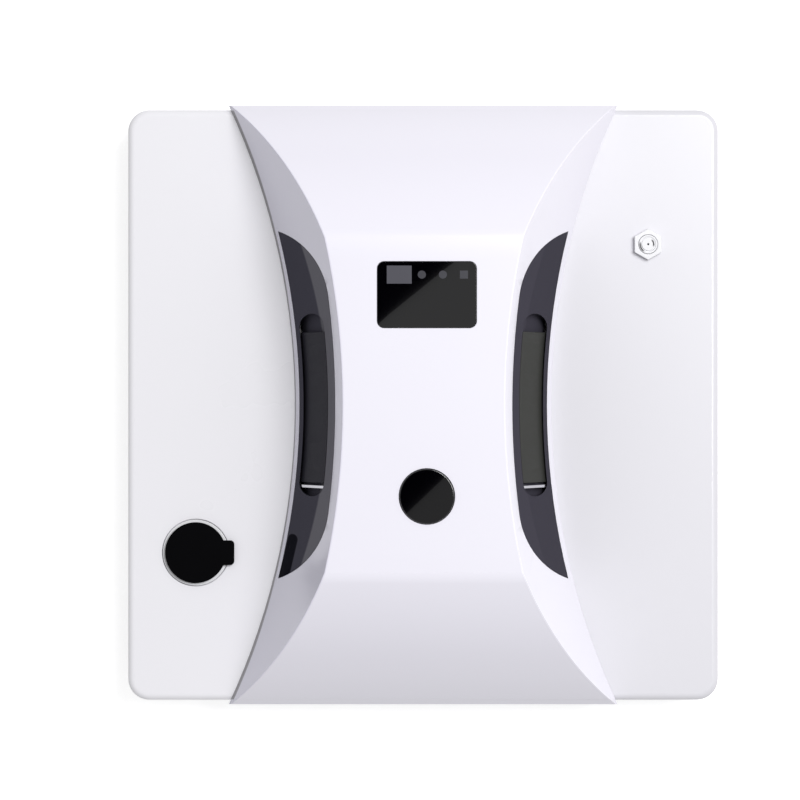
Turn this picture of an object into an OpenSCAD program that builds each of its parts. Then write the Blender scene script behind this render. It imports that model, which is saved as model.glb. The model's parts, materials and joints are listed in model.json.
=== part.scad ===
// Window cleaning robot: a square white body with a raised bridge that doubles as its carrying
// handle. It hangs on a pane by suction, walks on two belts and wipes with a microfibre pad.
// Millimetres. The origin is at the centre of the underside, on the pane; +Z points away from
// the pane, +Y is the end with the power inlet, and +X is the wing with the spray nozzle.

/* [Body] */
// Width of the body, across the two wings
body_w = 240; // [230:1:270]
// Depth of the body, along the belts
body_d = 240; // [236:1:270]
// Radius of the body's corners
corner_r = 8.6; // [7:0.2:14]
// Radius of the deck's upper edge
edge_r = 2.6; // [1:0.2:4]
// Wall of the base tray and the upper deck
body_wall = 2.4; // [1.8:0.1:3]
// Height of the underside above the pane
floor_z = 6; // [5.6:0.1:7]
// Height of the parting line between the tray and the deck
split_z = 22; // [20:0.5:24]
// Width of the shadow groove at the parting line
split_gap = 0.5; // [0.2:0.1:1]
// Height of the deck's top
deck_z = 34; // [33:0.5:38]

/* [Bridge] */
// Height of the bridge above the deck
bridge_h = 50; // [46:1:60]
// Radius of the curved seam where the bridge meets the deck
seam_r = 288; // [260:1:340]
// Half the bridge's width on the deck, at its waist
seam_half_w = 52.2; // [50:0.2:56]
// Half the bridge's width on top, at its waist
top_half_w = 32; // [31:0.2:36]
// Half the depth of the bridge's flat top
flat_half_d = 66; // [62:1:70]
// Radius of the bridge's rounded ends
end_arc_r = 121; // [100:1:150]
// How far the bridge stands out over the body at its ends
bridge_over = 1.5; // [1:0.1:3]
// Height of the upright face at the bridge's ends, above the deck
end_lip_h = 2; // [1:0.5:4]
// Wall of the bridge cover
cover_wall = 2.4; // [1.8:0.1:3]
// Height of the lowest edge of the end skirts
skirt_z = 9; // [8:0.5:12]
// Half the width of the end skirts
skirt_half_w = 76.5; // [70:0.5:77]

/* [Grips] */
// Gap in plan between the seam and the grip's lower edge
grip_low = 2.2; // [1.6:0.1:4]
// Distance in plan from the centre line to the grip's upper edge, at the waist
grip_top_x = 35.2; // [34.4:0.1:38]
// Radius in plan of the grip's upper edge
grip_top_r = 341; // [300:1:400]
// Radius in plan of the grip's tips
grip_end_r = 33.9; // [30:0.1:38]
// Distance from the waist to the centres of the tips' arcs
grip_end_y = 38.8; // [34:0.2:42]
// Depth of the grip insert below the wall's surface
grip_depth = 5; // [4.4:0.1:6]
// Width of the rim behind the wall that holds the insert
grip_rim = 2.5; // [1.5:0.1:3]
// Lowest part of the insert above the deck
grip_foot = 3; // [2:0.1:4]
// Gap in plan between the seam and the pocket's lower edge
pocket_low = 3.8; // [3.2:0.1:4.4]
// Width in plan of the finger pocket
pocket_w = 10.4; // [8:0.1:11]
// Half the length of the finger pocket
pocket_half_d = 36.6; // [30:0.2:40]
// Depth of the finger pocket
pocket_depth = 3.2; // [2:0.1:3.6]
// Thickness of the soft pad in the pocket
grip_pad_t = 2.2; // [1:0.1:2.6]
// Rear end of the soft pad
grip_pad_rear = 29.3; // [20:0.1:30]
// Front end of the soft pad, from the waist
grip_pad_front = 31.2; // [20:0.1:32]
// Thickness of the bright strip at the pad's front end
trim_t = 1; // [0.6:0.1:1.4]
// Gap between the pad and the bright strip
trim_gap = 1; // [0.4:0.1:1.4]

/* [Display and button] */
// Sideways place of the display and the button
panel_x = 1.2; // [-2:0.1:2]
// Place of the display along the body
display_y = 43.5; // [38:0.5:46]
// Width of the display window
display_w = 39.2; // [34:0.2:42]
// Depth of the display window
display_d = 26.2; // [24:0.2:28]
// Corner radius of the display window
display_r = 2.8; // [1:0.1:5]
// Thickness of the display window
display_t = 1.2; // [0.8:0.1:1.6]
// Width of the ledge that carries the window
display_ledge = 3; // [2:0.1:4]
// Width of the receiver window in the display
receiver_w = 9.8; // [8:0.1:11]
// Depth of the receiver window
receiver_d = 7.1; // [6:0.1:8]
// Place of the receiver window from the display's centre, sideways
receiver_x = -10.9; // [-12:0.1:-9]
// Place of the row of indicators from the display's centre, along the body
indicator_y = 7.9; // [6:0.1:8]
// Place of the first indicator from the display's centre, sideways
indicator_x = -2; // [-3:0.1:0]
// Pitch of the three indicators
indicator_pitch = 8.3; // [7:0.1:8.4]
// Size across an indicator
indicator_w = 3.2; // [2:0.1:4]
// Thickness of the receiver window and the indicators
inlay_t = 0.5; // [0.3:0.05:0.7]
// Place of the button's centre along the body
button_y = -36; // [-40:0.5:-30]
// Diameter of the button
button_dia = 21.7; // [18:0.1:24]
// Height of the button above the bridge
button_proud = 0.8; // [0.2:0.1:2]
// Travel of the button
button_travel = 1.2; // [0.6:0.1:1.6]
// Gap round the button
button_gap = 0.3; // [0.2:0.05:0.5]

/* [Deck fittings] */
// Sideways place of the filling port, from the water tank's middle
port_shift = 2.74; // [1.5:0.02:3.5]
// Place of the filling port along the body
port_y = -60; // [-80:1:-40]
// Outer diameter of the port's ring
port_dia = 27.5; // [26:0.1:30]
// Bore of the port's ring
port_bore = 17; // [14:0.2:19]
// Diameter of the rubber cap
cap_dia = 24.7; // [22:0.1:25.5]
// Thickness of the rubber cap
cap_t = 1.8; // [1:0.1:3]
// Width of the cap's pull tab
tab_w = 10; // [6:0.2:12]
// Reach of the pull tab from the cap's centre
tab_reach = 15.7; // [14.5:0.1:18]
// Corner radius of the pull tab
tab_r = 1.6; // [1:0.1:2.4]
// Sideways place of the spray nozzle, as a share of the room beside the belt bay
nozzle_room_share = 0.344; // [0.3:0.002:0.5]
// Place of the spray nozzle along the body
nozzle_y = 65.2; // [50:0.2:70]
// Size across the flats of the nozzle's hexagon
nozzle_af = 11; // [9:0.1:13]
// Height of the nozzle's hexagon
nozzle_h = 3; // [2:0.1:5]
// Diameter of the nozzle's round insert
nozzle_tip_dia = 7.6; // [6:0.1:8]

/* [Belts] */
// Sideways place of the belts' middles
belt_x = 66; // [65:0.5:67]
// Width of a belt
belt_w = 16; // [12:0.5:17]
// Radius of the belt's pitch line round a wheel
belt_pitch_r = 12.8; // [12.6:0.1:13]
// Thickness of the belt's band
belt_band = 2; // [1.6:0.1:2.2]
// Number of teeth round a drive wheel
wheel_teeth = 11; // [11:1:11]
// Number of lugs round a belt
lug_count = 41; // [41:1:41]
// Length of a lug along the belt
lug_l = 4; // [3:0.1:5]
// Radius of an axle
axle_r = 2; // [1.5:0.1:2.4]
// Gap between a belt and its wheels
belt_gap = 0.4; // [0.3:0.05:0.6]
// Gap between a belt and the sides of its bay
bay_gap = 1.5; // [1:0.1:2]
// Thickness of the bay's walls
bay_wall = 2; // [1.6:0.1:2.4]
// Diameter of a gear motor
gearmotor_dia = 12.4; // [10:0.1:12.6]
// Length of a gear motor
gearmotor_l = 35; // [30:0.5:36]

/* [Suction fan] */
// Outer radius of the fan housing
fan_r = 45; // [42:0.5:46]
// Wall of the fan housing
fan_wall = 2; // [1.5:0.1:2.4]
// Top of the fan housing
fan_top_z = 31; // [29:0.5:31]
// Radius of the fan's inlet
fan_inlet_r = 22; // [18:0.5:25]
// Radius of the impeller
impeller_r = 35; // [30:0.5:38]
// Height of the impeller
impeller_h = 14; // [10:0.5:15]
// Number of blades
blade_count = 11; // [7:1:15]
// Thickness of a blade
blade_t = 1.2; // [0.8:0.1:2]
// Radius of the fan motor
fan_motor_r = 21; // [16:0.5:22]
// Height of the fan motor
fan_motor_h = 34; // [28:0.5:36]
// Width of the exhaust duct
duct_w = 30; // [20:1:32]
// Height of the exhaust duct
duct_h = 12; // [8:0.5:12]
// Radius of the inlet grille
grille_r = 29; // [28:0.5:32]

/* [Pad] */
// Distance from the body's sides to the cleaning pad's sides
pad_side_inset = 3; // [1:0.1:6]
// Distance from the body's ends to the cleaning pad's ends
pad_end_inset = 2.5; // [1:0.1:6]
// Width of the opening in the pad
pad_in_w = 164; // [162:1:168]
// Depth of the opening in the pad
pad_in_d = 160; // [158:1:164]
// Gap between the pad and the pane when the belts stand on it
pad_lift = 0.3; // [0.2:0.1:0.6]
// Thickness of the hook tape that holds the pad
tape_t = 1; // [0.8:0.1:1.4]
// Radius of the notches at the pad's corners
notch_r = 16; // [14:0.5:20]

/* [Inside] */
// Width of the water tank, as a share of the room beside the belt bay
tank_room_share = 0.85; // [0.75:0.005:0.88]
// Gap along the body between the water tank and the pump
tank_hose_l = 17; // [12:0.5:30]
// Wall of the water tank
tank_wall = 1.6; // [1.2:0.1:2.4]
// Diameter of a hose
hose_dia = 5; // [4:0.1:6]
// Wall of a hose
hose_wall = 1; // [0.7:0.1:1.2]
// Radius of the hose's bends
hose_bend = 10; // [8:0.5:12]
// Diameter of a battery cell
cell_dia = 14; // [12:0.1:15]
// Length of a battery cell
cell_l = 50; // [45:0.5:52]
// Thickness of the circuit boards
board_t = 1.6; // [1:0.1:2]
// Width of the main board
main_board_w = 84; // [60:1:90]
// Depth of the main board
main_board_d = 34; // [24:1:36]
// Width of the display board
display_board_w = 38; // [34:1:42]
// Outer diameter of the power inlet's collar
inlet_dia = 6.6; // [6:0.1:8]
// Height of the power inlet's middle
inlet_z = 13.4; // [13.2:0.1:14]
// Radius of a casing screw's shank
screw_r = 1.4; // [1:0.1:1.5]
// Radius of a casing screw's head
screw_head_r = 2.7; // [2.4:0.1:3]
// Height of a casing screw's head
screw_head_h = 2; // [1.4:0.1:2.4]

/* [Hidden] */

// Colours of the plain model
shell_white = [0.93, 0.93, 0.95];
soft_black = [0.13, 0.13, 0.14];
gloss_black = [0.02, 0.02, 0.03];
pad_grey = [0.3, 0.31, 0.29];
bright_metal = [0.78, 0.78, 0.8];
board_green = [0.1, 0.35, 0.2];
cloth_blue = [0.75, 0.8, 0.85];
tank_tint = [0.8, 0.87, 0.92];

// Facets of the wide arcs and of the small rounds
wide_fn = 360;
round_fn = 64;
// Overrun of every cut past the face that it opens
over = 1;
// Clearance between pieces that are set into each other
fit = 0.15;
// Radial clearance of an axle in its hole
run_fit = 0.05;
// Clearance of a seated inner piece
seat_fit = 0.02;

// Places that follow from the body
top_z = deck_z + bridge_h;
floor_top_z = floor_z + body_wall;
deck_under_z = deck_z - body_wall;
end_y = body_d / 2 + bridge_over;
axis_x = seam_half_w + seam_r;
draft = atan((seam_half_w - top_half_w) / bridge_h);
ceiling_z = top_z - cover_wall;

// Centre of the end arc, which runs from the flat top down to the upright end face
arc_a = [flat_half_d, top_z];
arc_b = [end_y, deck_z + end_lip_h];
arc_mid = (arc_a + arc_b) / 2;
arc_chord = norm(arc_b - arc_a);
arc_reach = sqrt(pow(end_arc_r, 2) - pow(arc_chord / 2, 2));
arc_dir = [arc_b[1] - arc_a[1], arc_a[0] - arc_b[0]] / arc_chord;
arc_centre = arc_mid + arc_dir * arc_reach;

// Grip outline in plan: an upper arc that runs tangent into the two tip arcs
grip_top_axis = grip_top_x + grip_top_r;
grip_end_axis = grip_top_axis - sqrt(pow(grip_top_r - grip_end_r, 2) - pow(grip_end_y, 2));
grip_join_y = grip_end_y * grip_top_r / (grip_top_r - grip_end_r);
rim_t = 1.3;

// Pocket outline in plan: a band along the seam with half-round ends
pocket_mid_r = seam_r + pocket_low + pocket_w / 2;
pocket_end_y = pocket_half_d - pocket_w / 2;
pocket_end_x = axis_x - sqrt(pow(pocket_mid_r, 2) - pow(pocket_end_y, 2));

// Belts and their wheels
belt_pitch = 2 * PI * belt_pitch_r / wheel_teeth;
axle_y = (lug_count * belt_pitch - 2 * PI * belt_pitch_r) / 4;
belt_out_r = belt_pitch_r + belt_band / 2;
belt_in_r = belt_pitch_r - belt_band / 2;
lug_h = 1.2;
lug_sink = 0.3;
axle_z = belt_out_r + lug_h;
wheel_r = belt_in_r - belt_gap;
groove_r = 1.4;
hub_gap = 0.5;
bay_half_w = belt_w / 2 + bay_gap;
bay_half_d = axle_y + belt_out_r + lug_h + bay_gap;
bay_rise = 8;
bay_top_z = axle_z + bay_rise;
bay_in_x = belt_x - bay_half_w;
bay_out_x = belt_x + bay_half_w;
side_room = body_w / 2 - body_wall - bay_out_x - bay_wall;
gearmotor_hold = 3;
saddle_t = 4;
saddle_gap = 0.2;
saddle_shares = [0.3, 0.75];

// Screws and their posts
post_r = 4;
post_hole_gap = 0.2;
post_hole_r = screw_r + post_hole_gap;
pilot_r = screw_r + run_fit;
pilot_deep = 8;
head_recess = 6;
head_deep_z = floor_z + head_recess;
drive_length_share = 0.6;
drive_width_share = 0.15;
drive_depth_share = 0.5;
inner_post_x = 46;
inner_post_y = 77;
outer_post_x = body_w / 2 - corner_r;
outer_post_y = body_d / 2 - corner_r;
post_places = [for (sx = [-1, 1], sy = [-1, 1]) each [
    [sx * inner_post_x, sy * inner_post_y],
    [sx * outer_post_x, sy * outer_post_y]
]];
cover_post_x = 54;
cover_post_inset = 24;
cover_post_y = body_d / 2 - cover_post_inset;
cover_posts = [for (sx = [-1, 1], sy = [-1, 1]) [sx * cover_post_x, sy * cover_post_y]];

// Parting line
lip_t = 1.1;
lip_h = 2.4;

// Opening in the deck under the bridge
deck_open_w = 88;
deck_open_d = 104;

// Display, board and button
display_open_w = display_w - 2 * display_ledge;
display_open_d = display_d - 2 * display_ledge;
window_proud = 0.2;
inlay_gap = 0.05;
module_gap = 0.5;
board_z = 72;
board_front_y = -46;
board_rear_y = 60;
board_post_r = 2.6;
board_post_x = display_board_w / 2 - board_post_r;
board_post_mid_y = 8;
board_post_ys = [board_front_y + board_post_r, board_post_mid_y, board_rear_y - board_post_r];
board_screw_r = 0.9;
board_screw_head_r = 1.8;
board_screw_head_h = 1.2;
board_screw_l = 5;
flange_w = 1.3;
flange_t = 1.4;
flange_gap = 0.3;
switch_w = 6.2;
switch_h = 3.6;
plunger_r = 1.7;
plunger_h = 0.8;
stop_gap = 0.2;
stem_r = 2.5;

// Edge sensors
sensor_inset = 18;
sensor_x = body_w / 2 - sensor_inset;
sensor_y = body_d / 2 - sensor_inset;
sensor_r = 3.5;
sensor_rim_r = 5;
sensor_rim_t = 1.6;
sensor_proud = 0.8;

// Filling port, cap and tank
pump_y = 50;
pump_d = 30;
port_gap = 0.35;
port_flange_t = 1.6;
port_rise = 0.3;
port_neck_wall = 1.6;
port_neck_r = port_bore / 2 + port_neck_wall;
cap_lift_gap = 0.1;
plug_h = 5;
plug_gap = 0.3;
plug_wall = 1.8;
plug_bead = 0.2;
bead_r = 0.9;
tank_w = side_room * tank_room_share;
tank_side_gap = 0.6;
tank_x = -(bay_out_x + bay_wall + tank_side_gap + tank_w / 2);
port_x = tank_x + port_shift;
sensor_clear = 2;
tank_front_y = sensor_rim_r + sensor_clear - sensor_y;
tank_d = pump_y - pump_d / 2 - tank_hose_l - tank_front_y;
tank_headroom = 2.6;
tank_top_z = deck_under_z - tank_headroom;
tank_neck_rise = 1.6;
tank_neck_z = tank_top_z + tank_neck_rise;
tank_r = 5;

// Nozzle
nozzle_x = bay_out_x + bay_wall + side_room * nozzle_room_share;
nozzle_shank_r = 3.9;
nozzle_disc_r = 2.6;
nozzle_orifice_r = 0.4;
nozzle_nut_h = 2.4;
nozzle_tip_rise = 0.4;
nozzle_tip_deep = 2;
nozzle_ledge = 0.5;
nozzle_shank_over = 0.4;
nozzle_shank_z = deck_under_z - nozzle_nut_h - nozzle_shank_over;
nozzle_duct_r = 1.2;

// Pump and hoses
pump_w_share = 0.704;
pump_w = tank_w * pump_w_share;
pump_h = 17;
pump_head_r = 8;
pump_head_l = 8;
nipple_r = 1.4;
nipple_l = 5;
hose_z = 22;
hose_inset = 12;
hose_y = body_d / 2 - hose_inset;
tank_hose_z = 14;
hose_rise = nozzle_shank_z - hose_z;

// Fan
housing_floor_t = 2;
impeller_gap = 1.4;
impeller_z = floor_top_z + housing_floor_t + impeller_gap;
hub_r = 8;
disc_t = 1.6;
blade_lean = 38;
shaft_r = 2;
shaft_reach = 12;
shaft_top_z = fan_top_z + shaft_reach;
shaft_hole_gap = 0.5;
duct_z = 10;
duct_wall = 1.6;
duct_gap = 0.3;
duct_end_y = -(body_d / 2 - body_wall - fit - lip_t - duct_gap);
slot_count = 7;
slot_w = 2;
slot_h = 8;
slot_pitch = 4;
motor_cap_r = 15;
motor_cap_h = 2;
motor_can_gap = 2;
grille_t = 1.4;
grille_ring_w = 1.4;
grille_pitch = 5;
grille_spokes = 6;
grille_seat = 2;
grille_hole_r = grille_r - grille_seat;

// Boards, battery and inlet
standoff_h = 5;
standoff_r = 2.4;
standoff_inset = 4;
main_board_gap = 10;
main_board_y = deck_open_d / 2 + main_board_gap + main_board_d / 2;
chip_w = 14;
chip_h = 1.6;
socket_w = 18;
socket_d = 6;
socket_h = 7;
battery_side_gap = 2.4;
cells_across = floor((side_room - 2 * battery_side_gap) / cell_dia);
battery_w = cells_across * cell_dia;
battery_x = bay_out_x + bay_wall + battery_side_gap + battery_w / 2;
battery_front_gap = 3;
battery_y = sensor_rim_r + battery_front_gap - sensor_y + cell_l;
battery_tray_t = 1.2;
battery_gap = 0.2;
inlet_proud = 0.5;
inlet_bore_r = 2.75;
inlet_pin_r = 1;
inlet_deep = 9;
inlet_body_w = 9;
inlet_body_h = 9;
inlet_body_l = 13;

// Pad and tape
pad_w = body_w - 2 * pad_side_inset;
pad_d = body_d - 2 * pad_end_inset;
pad_r = 8;
pad_in_r = 10;
pad_top_z = floor_z - tape_t;
tape_inset_share = 0.257;
tape_inset = min(pad_w - pad_in_w, pad_d - pad_in_d) / 2 * tape_inset_share;
tape_gap = 20;
notch_inset = 13;
notch_x = body_w / 2 - notch_inset;
notch_y = body_d / 2 - notch_inset;

// General shapes

module round_rect(w, d, r) {
    square([w - 2 * r, d], center = true);
    square([w, d - 2 * r], center = true);
    for (sx = [-1, 1], sy = [-1, 1])
        translate([sx * (w / 2 - r), sy * (d / 2 - r)])
            circle(r = r, $fn = round_fn);
}

// A plate that stands on z = 0, with its upper or its lower edge rounded to the radius f:
// two crossing bars and a round puck at each corner
module soft_plate(w, d, r, h, f, upper) {
    rotate([90, 0, 0])
        translate([0, 0, -d / 2 + r])
            linear_extrude(d - 2 * r) soft_section(w, h, f, upper);
    rotate([90, 0, 90])
        translate([0, 0, -w / 2 + r])
            linear_extrude(w - 2 * r) soft_section(d, h, f, upper);
    for (sx = [-1, 1], sy = [-1, 1])
        translate([sx * (w / 2 - r), sy * (d / 2 - r), 0])
            rotate_extrude($fn = round_fn)
                intersection() {
                    soft_section(2 * r, h, f, upper);
                    square([2 * r, h]);
                }
}

module soft_section(w, h, f, upper) {
    translate([-w / 2, upper ? 0 : f]) square([w, h - f]);
    translate([-w / 2 + f, 0]) square([w - 2 * f, h]);
    for (s = [-1, 1])
        translate([s * (w / 2 - f), upper ? h - f : f])
            circle(r = f, $fn = round_fn);
}

module tube(h, outer, inner) {
    difference() {
        cylinder(h = h, r = outer, $fn = round_fn);
        translate([0, 0, -over]) cylinder(h = h + 2 * over, r = inner, $fn = round_fn);
    }
}

module hexagon(h, across) {
    rotate([0, 0, 30]) cylinder(h = h, r = across / sqrt(3), $fn = 6);
}

// Bridge: the side walls are parts of two wide cones that stand outside the body

function wall_r(z, inset) = seam_r + (z - deck_z) * tan(draft) + inset / cos(draft);

module wall_cone(side, inset, z0, z1) {
    translate([side * axis_x, 0, z0])
        cylinder(h = z1 - z0, r1 = wall_r(z0, inset), r2 = wall_r(z1, inset), $fn = wide_fn);
}

module wall_layer(side, from, to, z0, z1) {
    difference() {
        wall_cone(side, to, z0, z1);
        wall_cone(side, from, z0 - over, z1 + over);
    }
}

module bridge_form(inset, z0) {
    difference() {
        intersection() {
            translate([-body_w / 2, -(end_y - inset), z0])
                cube([body_w, 2 * (end_y - inset), top_z - inset - z0]);
            for (s = [-1, 1])
                translate([0, s * arc_centre[0], arc_centre[1]])
                    rotate([0, 90, 0])
                        cylinder(h = body_w + 2 * over, r = end_arc_r - inset, center = true, $fn = wide_fn);
        }
        for (side = [-1, 1]) wall_cone(side, inset, z0 - over, top_z + over);
    }
}

module skirt(s) {
    translate([-skirt_half_w, s > 0 ? body_d / 2 + fit : -end_y, skirt_z])
        cube([2 * skirt_half_w, bridge_over - fit, deck_z - skirt_z + end_lip_h / 2]);
}

module exhaust_slots(y0, y1) {
    for (i = [0 : slot_count - 1])
        translate([(i - (slot_count - 1) / 2) * slot_pitch - slot_w / 2, y0, duct_z + (duct_h - slot_h) / 2])
            cube([slot_w, y1 - y0, slot_h]);
}

// Upright column over the grip's bow-shaped plan, grown by e on all sides
module bow_column(side, e, z0, z1) {
    difference() {
        intersection() {
            translate([side * grip_top_axis, 0, z0])
                cylinder(h = z1 - z0, r = grip_top_r + e, $fn = wide_fn);
            union() {
                translate([side > 0 ? 0 : -grip_end_axis, -grip_join_y, z0])
                    cube([grip_end_axis, 2 * grip_join_y, z1 - z0]);
                for (s = [-1, 1])
                    translate([side * grip_end_axis, s * grip_end_y, z0])
                        cylinder(h = z1 - z0, r = grip_end_r + e, $fn = wide_fn);
            }
        }
        translate([side * axis_x, 0, z0 - over])
            cylinder(h = z1 - z0 + 2 * over, r = seam_r + grip_low - e, $fn = wide_fn);
    }
}

// Upright column over the finger pocket's plan
module pocket_column(side, e, z0, z1) {
    intersection() {
        translate([side * axis_x, 0, z0])
            difference() {
                cylinder(h = z1 - z0, r = pocket_mid_r + pocket_w / 2 + e, $fn = wide_fn);
                translate([0, 0, -over])
                    cylinder(h = z1 - z0 + 2 * over, r = pocket_mid_r - pocket_w / 2 - e, $fn = wide_fn);
            }
        translate([side > 0 ? 0 : -axis_x, -pocket_end_y, z0])
            cube([axis_x, 2 * pocket_end_y, z1 - z0]);
    }
    for (s = [-1, 1])
        translate([side * pocket_end_x, s * pocket_end_y, z0])
            cylinder(h = z1 - z0, r = pocket_w / 2 + e, $fn = round_fn);
}

// Shells

module base_tray() {
    color(shell_white)
        difference() {
            union() {
                difference() {
                    translate([0, 0, floor_z])
                        soft_plate(body_w, body_d, corner_r, split_z - floor_z, edge_r, upper = false);
                    translate([0, 0, floor_top_z])
                        linear_extrude(split_z)
                            round_rect(body_w - 2 * body_wall, body_d - 2 * body_wall, corner_r - body_wall);
                }
                tray_lip();
                for (side = [-1, 1]) belt_bay(side);
                for (p = post_places)
                    translate([p[0], p[1], floor_top_z - over / 2])
                        cylinder(h = split_z - floor_top_z + over / 2, r = post_r, $fn = round_fn);
                for (side = [-1, 1]) motor_saddles(side);
            }
            for (side = [-1, 1])
                translate([side * belt_x - bay_half_w, -bay_half_d, floor_z - over])
                    cube([2 * bay_half_w, 2 * bay_half_d, bay_top_z - floor_z + 2 * over]);
            for (side = [-1, 1], s = [-1, 1])
                translate([side * belt_x, s * axle_y, axle_z])
                    rotate([0, 90, 0])
                        cylinder(h = 2 * (bay_half_w + bay_wall + over), r = axle_r + run_fit, center = true,
                                 $fn = round_fn);
            for (side = [-1, 1])
                translate([side * (bay_in_x - bay_wall - gearmotor_l / 2), -axle_y, axle_z])
                    rotate([0, 90, 0])
                        cylinder(h = gearmotor_l, r = gearmotor_dia / 2 + seat_fit, center = true,
                                 $fn = round_fn);
            for (p = post_places)
                translate([p[0], p[1], floor_z - over]) {
                    cylinder(h = split_z, r = post_hole_r, $fn = round_fn);
                    cylinder(h = head_deep_z - floor_z + over, r = screw_head_r + fit, $fn = round_fn);
                }
            translate([0, 0, floor_z - over])
                cylinder(h = body_wall + 2 * over, r = grille_hole_r, $fn = round_fn);
            translate([0, 0, floor_z - over])
                cylinder(h = grille_t + over, r = grille_r + fit, $fn = round_fn);
            for (sx = [-1, 1], sy = [-1, 1])
                translate([sx * sensor_x, sy * sensor_y, floor_z - over])
                    cylinder(h = body_wall + 2 * over, r = sensor_r + fit, $fn = round_fn);
            exhaust_slots(-body_d / 2 - over, -body_d / 2 + body_wall + over);
            translate([0, body_d / 2 + over, inlet_z])
                rotate([90, 0, 0])
                    cylinder(h = body_wall + 2 * over, r = inlet_dia / 2 + fit, $fn = round_fn);
        }
}

// Thin inner wall that closes the shadow groove at the parting line
module tray_lip() {
    inner = body_wall - lip_t;
    translate([0, 0, split_z - lip_h])
        linear_extrude(2 * lip_h)
            difference() {
                round_rect(body_w - 2 * (body_wall + fit), body_d - 2 * (body_wall + fit),
                           corner_r - body_wall);
                round_rect(body_w - 2 * (body_wall + fit + lip_t), body_d - 2 * (body_wall + fit + lip_t),
                           corner_r - body_wall - inner);
            }
    translate([0, 0, split_z - lip_h - over])
        linear_extrude(lip_h)
            difference() {
                round_rect(body_w - body_wall, body_d - body_wall, corner_r - body_wall / 2);
                round_rect(body_w - 2 * (body_wall + fit + lip_t), body_d - 2 * (body_wall + fit + lip_t),
                           corner_r - body_wall - inner);
            }
}

module belt_bay(side) {
    for (x = [bay_in_x - bay_wall, bay_out_x])
        translate([side > 0 ? x : -x - bay_wall, -bay_half_d - bay_wall, floor_top_z - over / 2])
            cube([bay_wall, 2 * (bay_half_d + bay_wall), bay_top_z - floor_top_z + over / 2]);
    for (y = [-bay_half_d - bay_wall, bay_half_d])
        translate([side * belt_x - bay_half_w - over / 2, y, floor_top_z - over / 2])
            cube([2 * bay_half_w + over, bay_wall, bay_top_z - floor_top_z + over / 2]);
}

module motor_saddles(side) {
    for (share = saddle_shares)
        translate([side * (bay_in_x - bay_wall - share * gearmotor_l) - saddle_t / 2,
                   -axle_y - gearmotor_dia / 2 - saddle_gap, floor_top_z - over / 2])
            cube([saddle_t, gearmotor_dia + 2 * saddle_gap, axle_z - floor_top_z + over / 2]);
}

module upper_deck() {
    color(shell_white)
        difference() {
            union() {
                difference() {
                    translate([0, 0, split_z + split_gap])
                        soft_plate(body_w, body_d, corner_r, deck_z - split_z - split_gap, edge_r,
                                   upper = true);
                    translate([0, 0, split_z])
                        linear_extrude(deck_under_z - split_z)
                            round_rect(body_w - 2 * body_wall, body_d - 2 * body_wall, corner_r - body_wall);
                }
                for (p = post_places)
                    translate([p[0], p[1], split_z])
                        cylinder(h = deck_under_z - split_z + over / 2, r = post_r, $fn = round_fn);
            }
            for (p = post_places)
                translate([p[0], p[1], split_z - over])
                    cylinder(h = pilot_deep + over, r = pilot_r, $fn = round_fn);
            translate([-deck_open_w / 2, -deck_open_d / 2, deck_under_z - over])
                cube([deck_open_w, deck_open_d, body_wall + 2 * over]);
            translate([port_x, port_y, deck_under_z - over]) {
                cylinder(h = body_wall + 2 * over, r = port_neck_r + fit, $fn = round_fn);
                translate([0, 0, over + body_wall - port_flange_t])
                    cylinder(h = port_flange_t + over, r = port_dia / 2, $fn = round_fn);
            }
            translate([nozzle_x, nozzle_y, deck_under_z - over])
                cylinder(h = body_wall + 2 * over, r = nozzle_shank_r + fit, $fn = round_fn);
            for (p = cover_posts)
                translate([p[0], p[1], deck_under_z - over])
                    cylinder(h = body_wall + 2 * over, r = post_hole_r, $fn = round_fn);
        }
}

module bridge_cover() {
    color(shell_white)
        difference() {
            union() {
                difference() {
                    bridge_form(0, deck_z);
                    bridge_form(cover_wall, deck_z - over);
                }
                for (s = [-1, 1]) skirt(s);
                intersection() {
                    bridge_form(cover_wall / 2, deck_z);
                    for (p = cover_posts)
                        translate([p[0], p[1], deck_z])
                            cylinder(h = bridge_h, r = post_r, $fn = round_fn);
                }
                for (sx = [-1, 1], y = board_post_ys)
                    translate([sx * board_post_x, y, board_z])
                        cylinder(h = ceiling_z - board_z + over / 2, r = board_post_r, $fn = round_fn);
            }
            for (side = [-1, 1])
                intersection() {
                    bow_column(side, fit, deck_z + grip_foot - fit, ceiling_z - over);
                    wall_layer(side, -over, cover_wall + over, deck_z, top_z);
                }
            for (p = cover_posts)
                translate([p[0], p[1], deck_z - over])
                    cylinder(h = pilot_deep + over, r = pilot_r, $fn = round_fn);
            for (sx = [-1, 1], y = board_post_ys)
                translate([sx * board_post_x, y, board_z - over])
                    cylinder(h = board_screw_l + over, r = board_screw_r + run_fit, $fn = round_fn);
            translate([panel_x, display_y, top_z - display_t])
                linear_extrude(display_t + over)
                    round_rect(display_w + 2 * fit, display_d + 2 * fit, display_r + fit);
            translate([panel_x, display_y, ceiling_z - over])
                linear_extrude(cover_wall + 2 * over)
                    square([display_open_w, display_open_d], center = true);
            translate([panel_x, button_y, ceiling_z - over])
                cylinder(h = cover_wall + 2 * over, r = button_dia / 2 + button_gap, $fn = round_fn);
            exhaust_slots(-end_y - over, -body_d / 2 + over);
            translate([0, end_y + over, inlet_z])
                rotate([90, 0, 0])
                    cylinder(h = bridge_over + 2 * over, r = inlet_dia / 2 + fit, $fn = round_fn);
        }
}

// Grips

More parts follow.
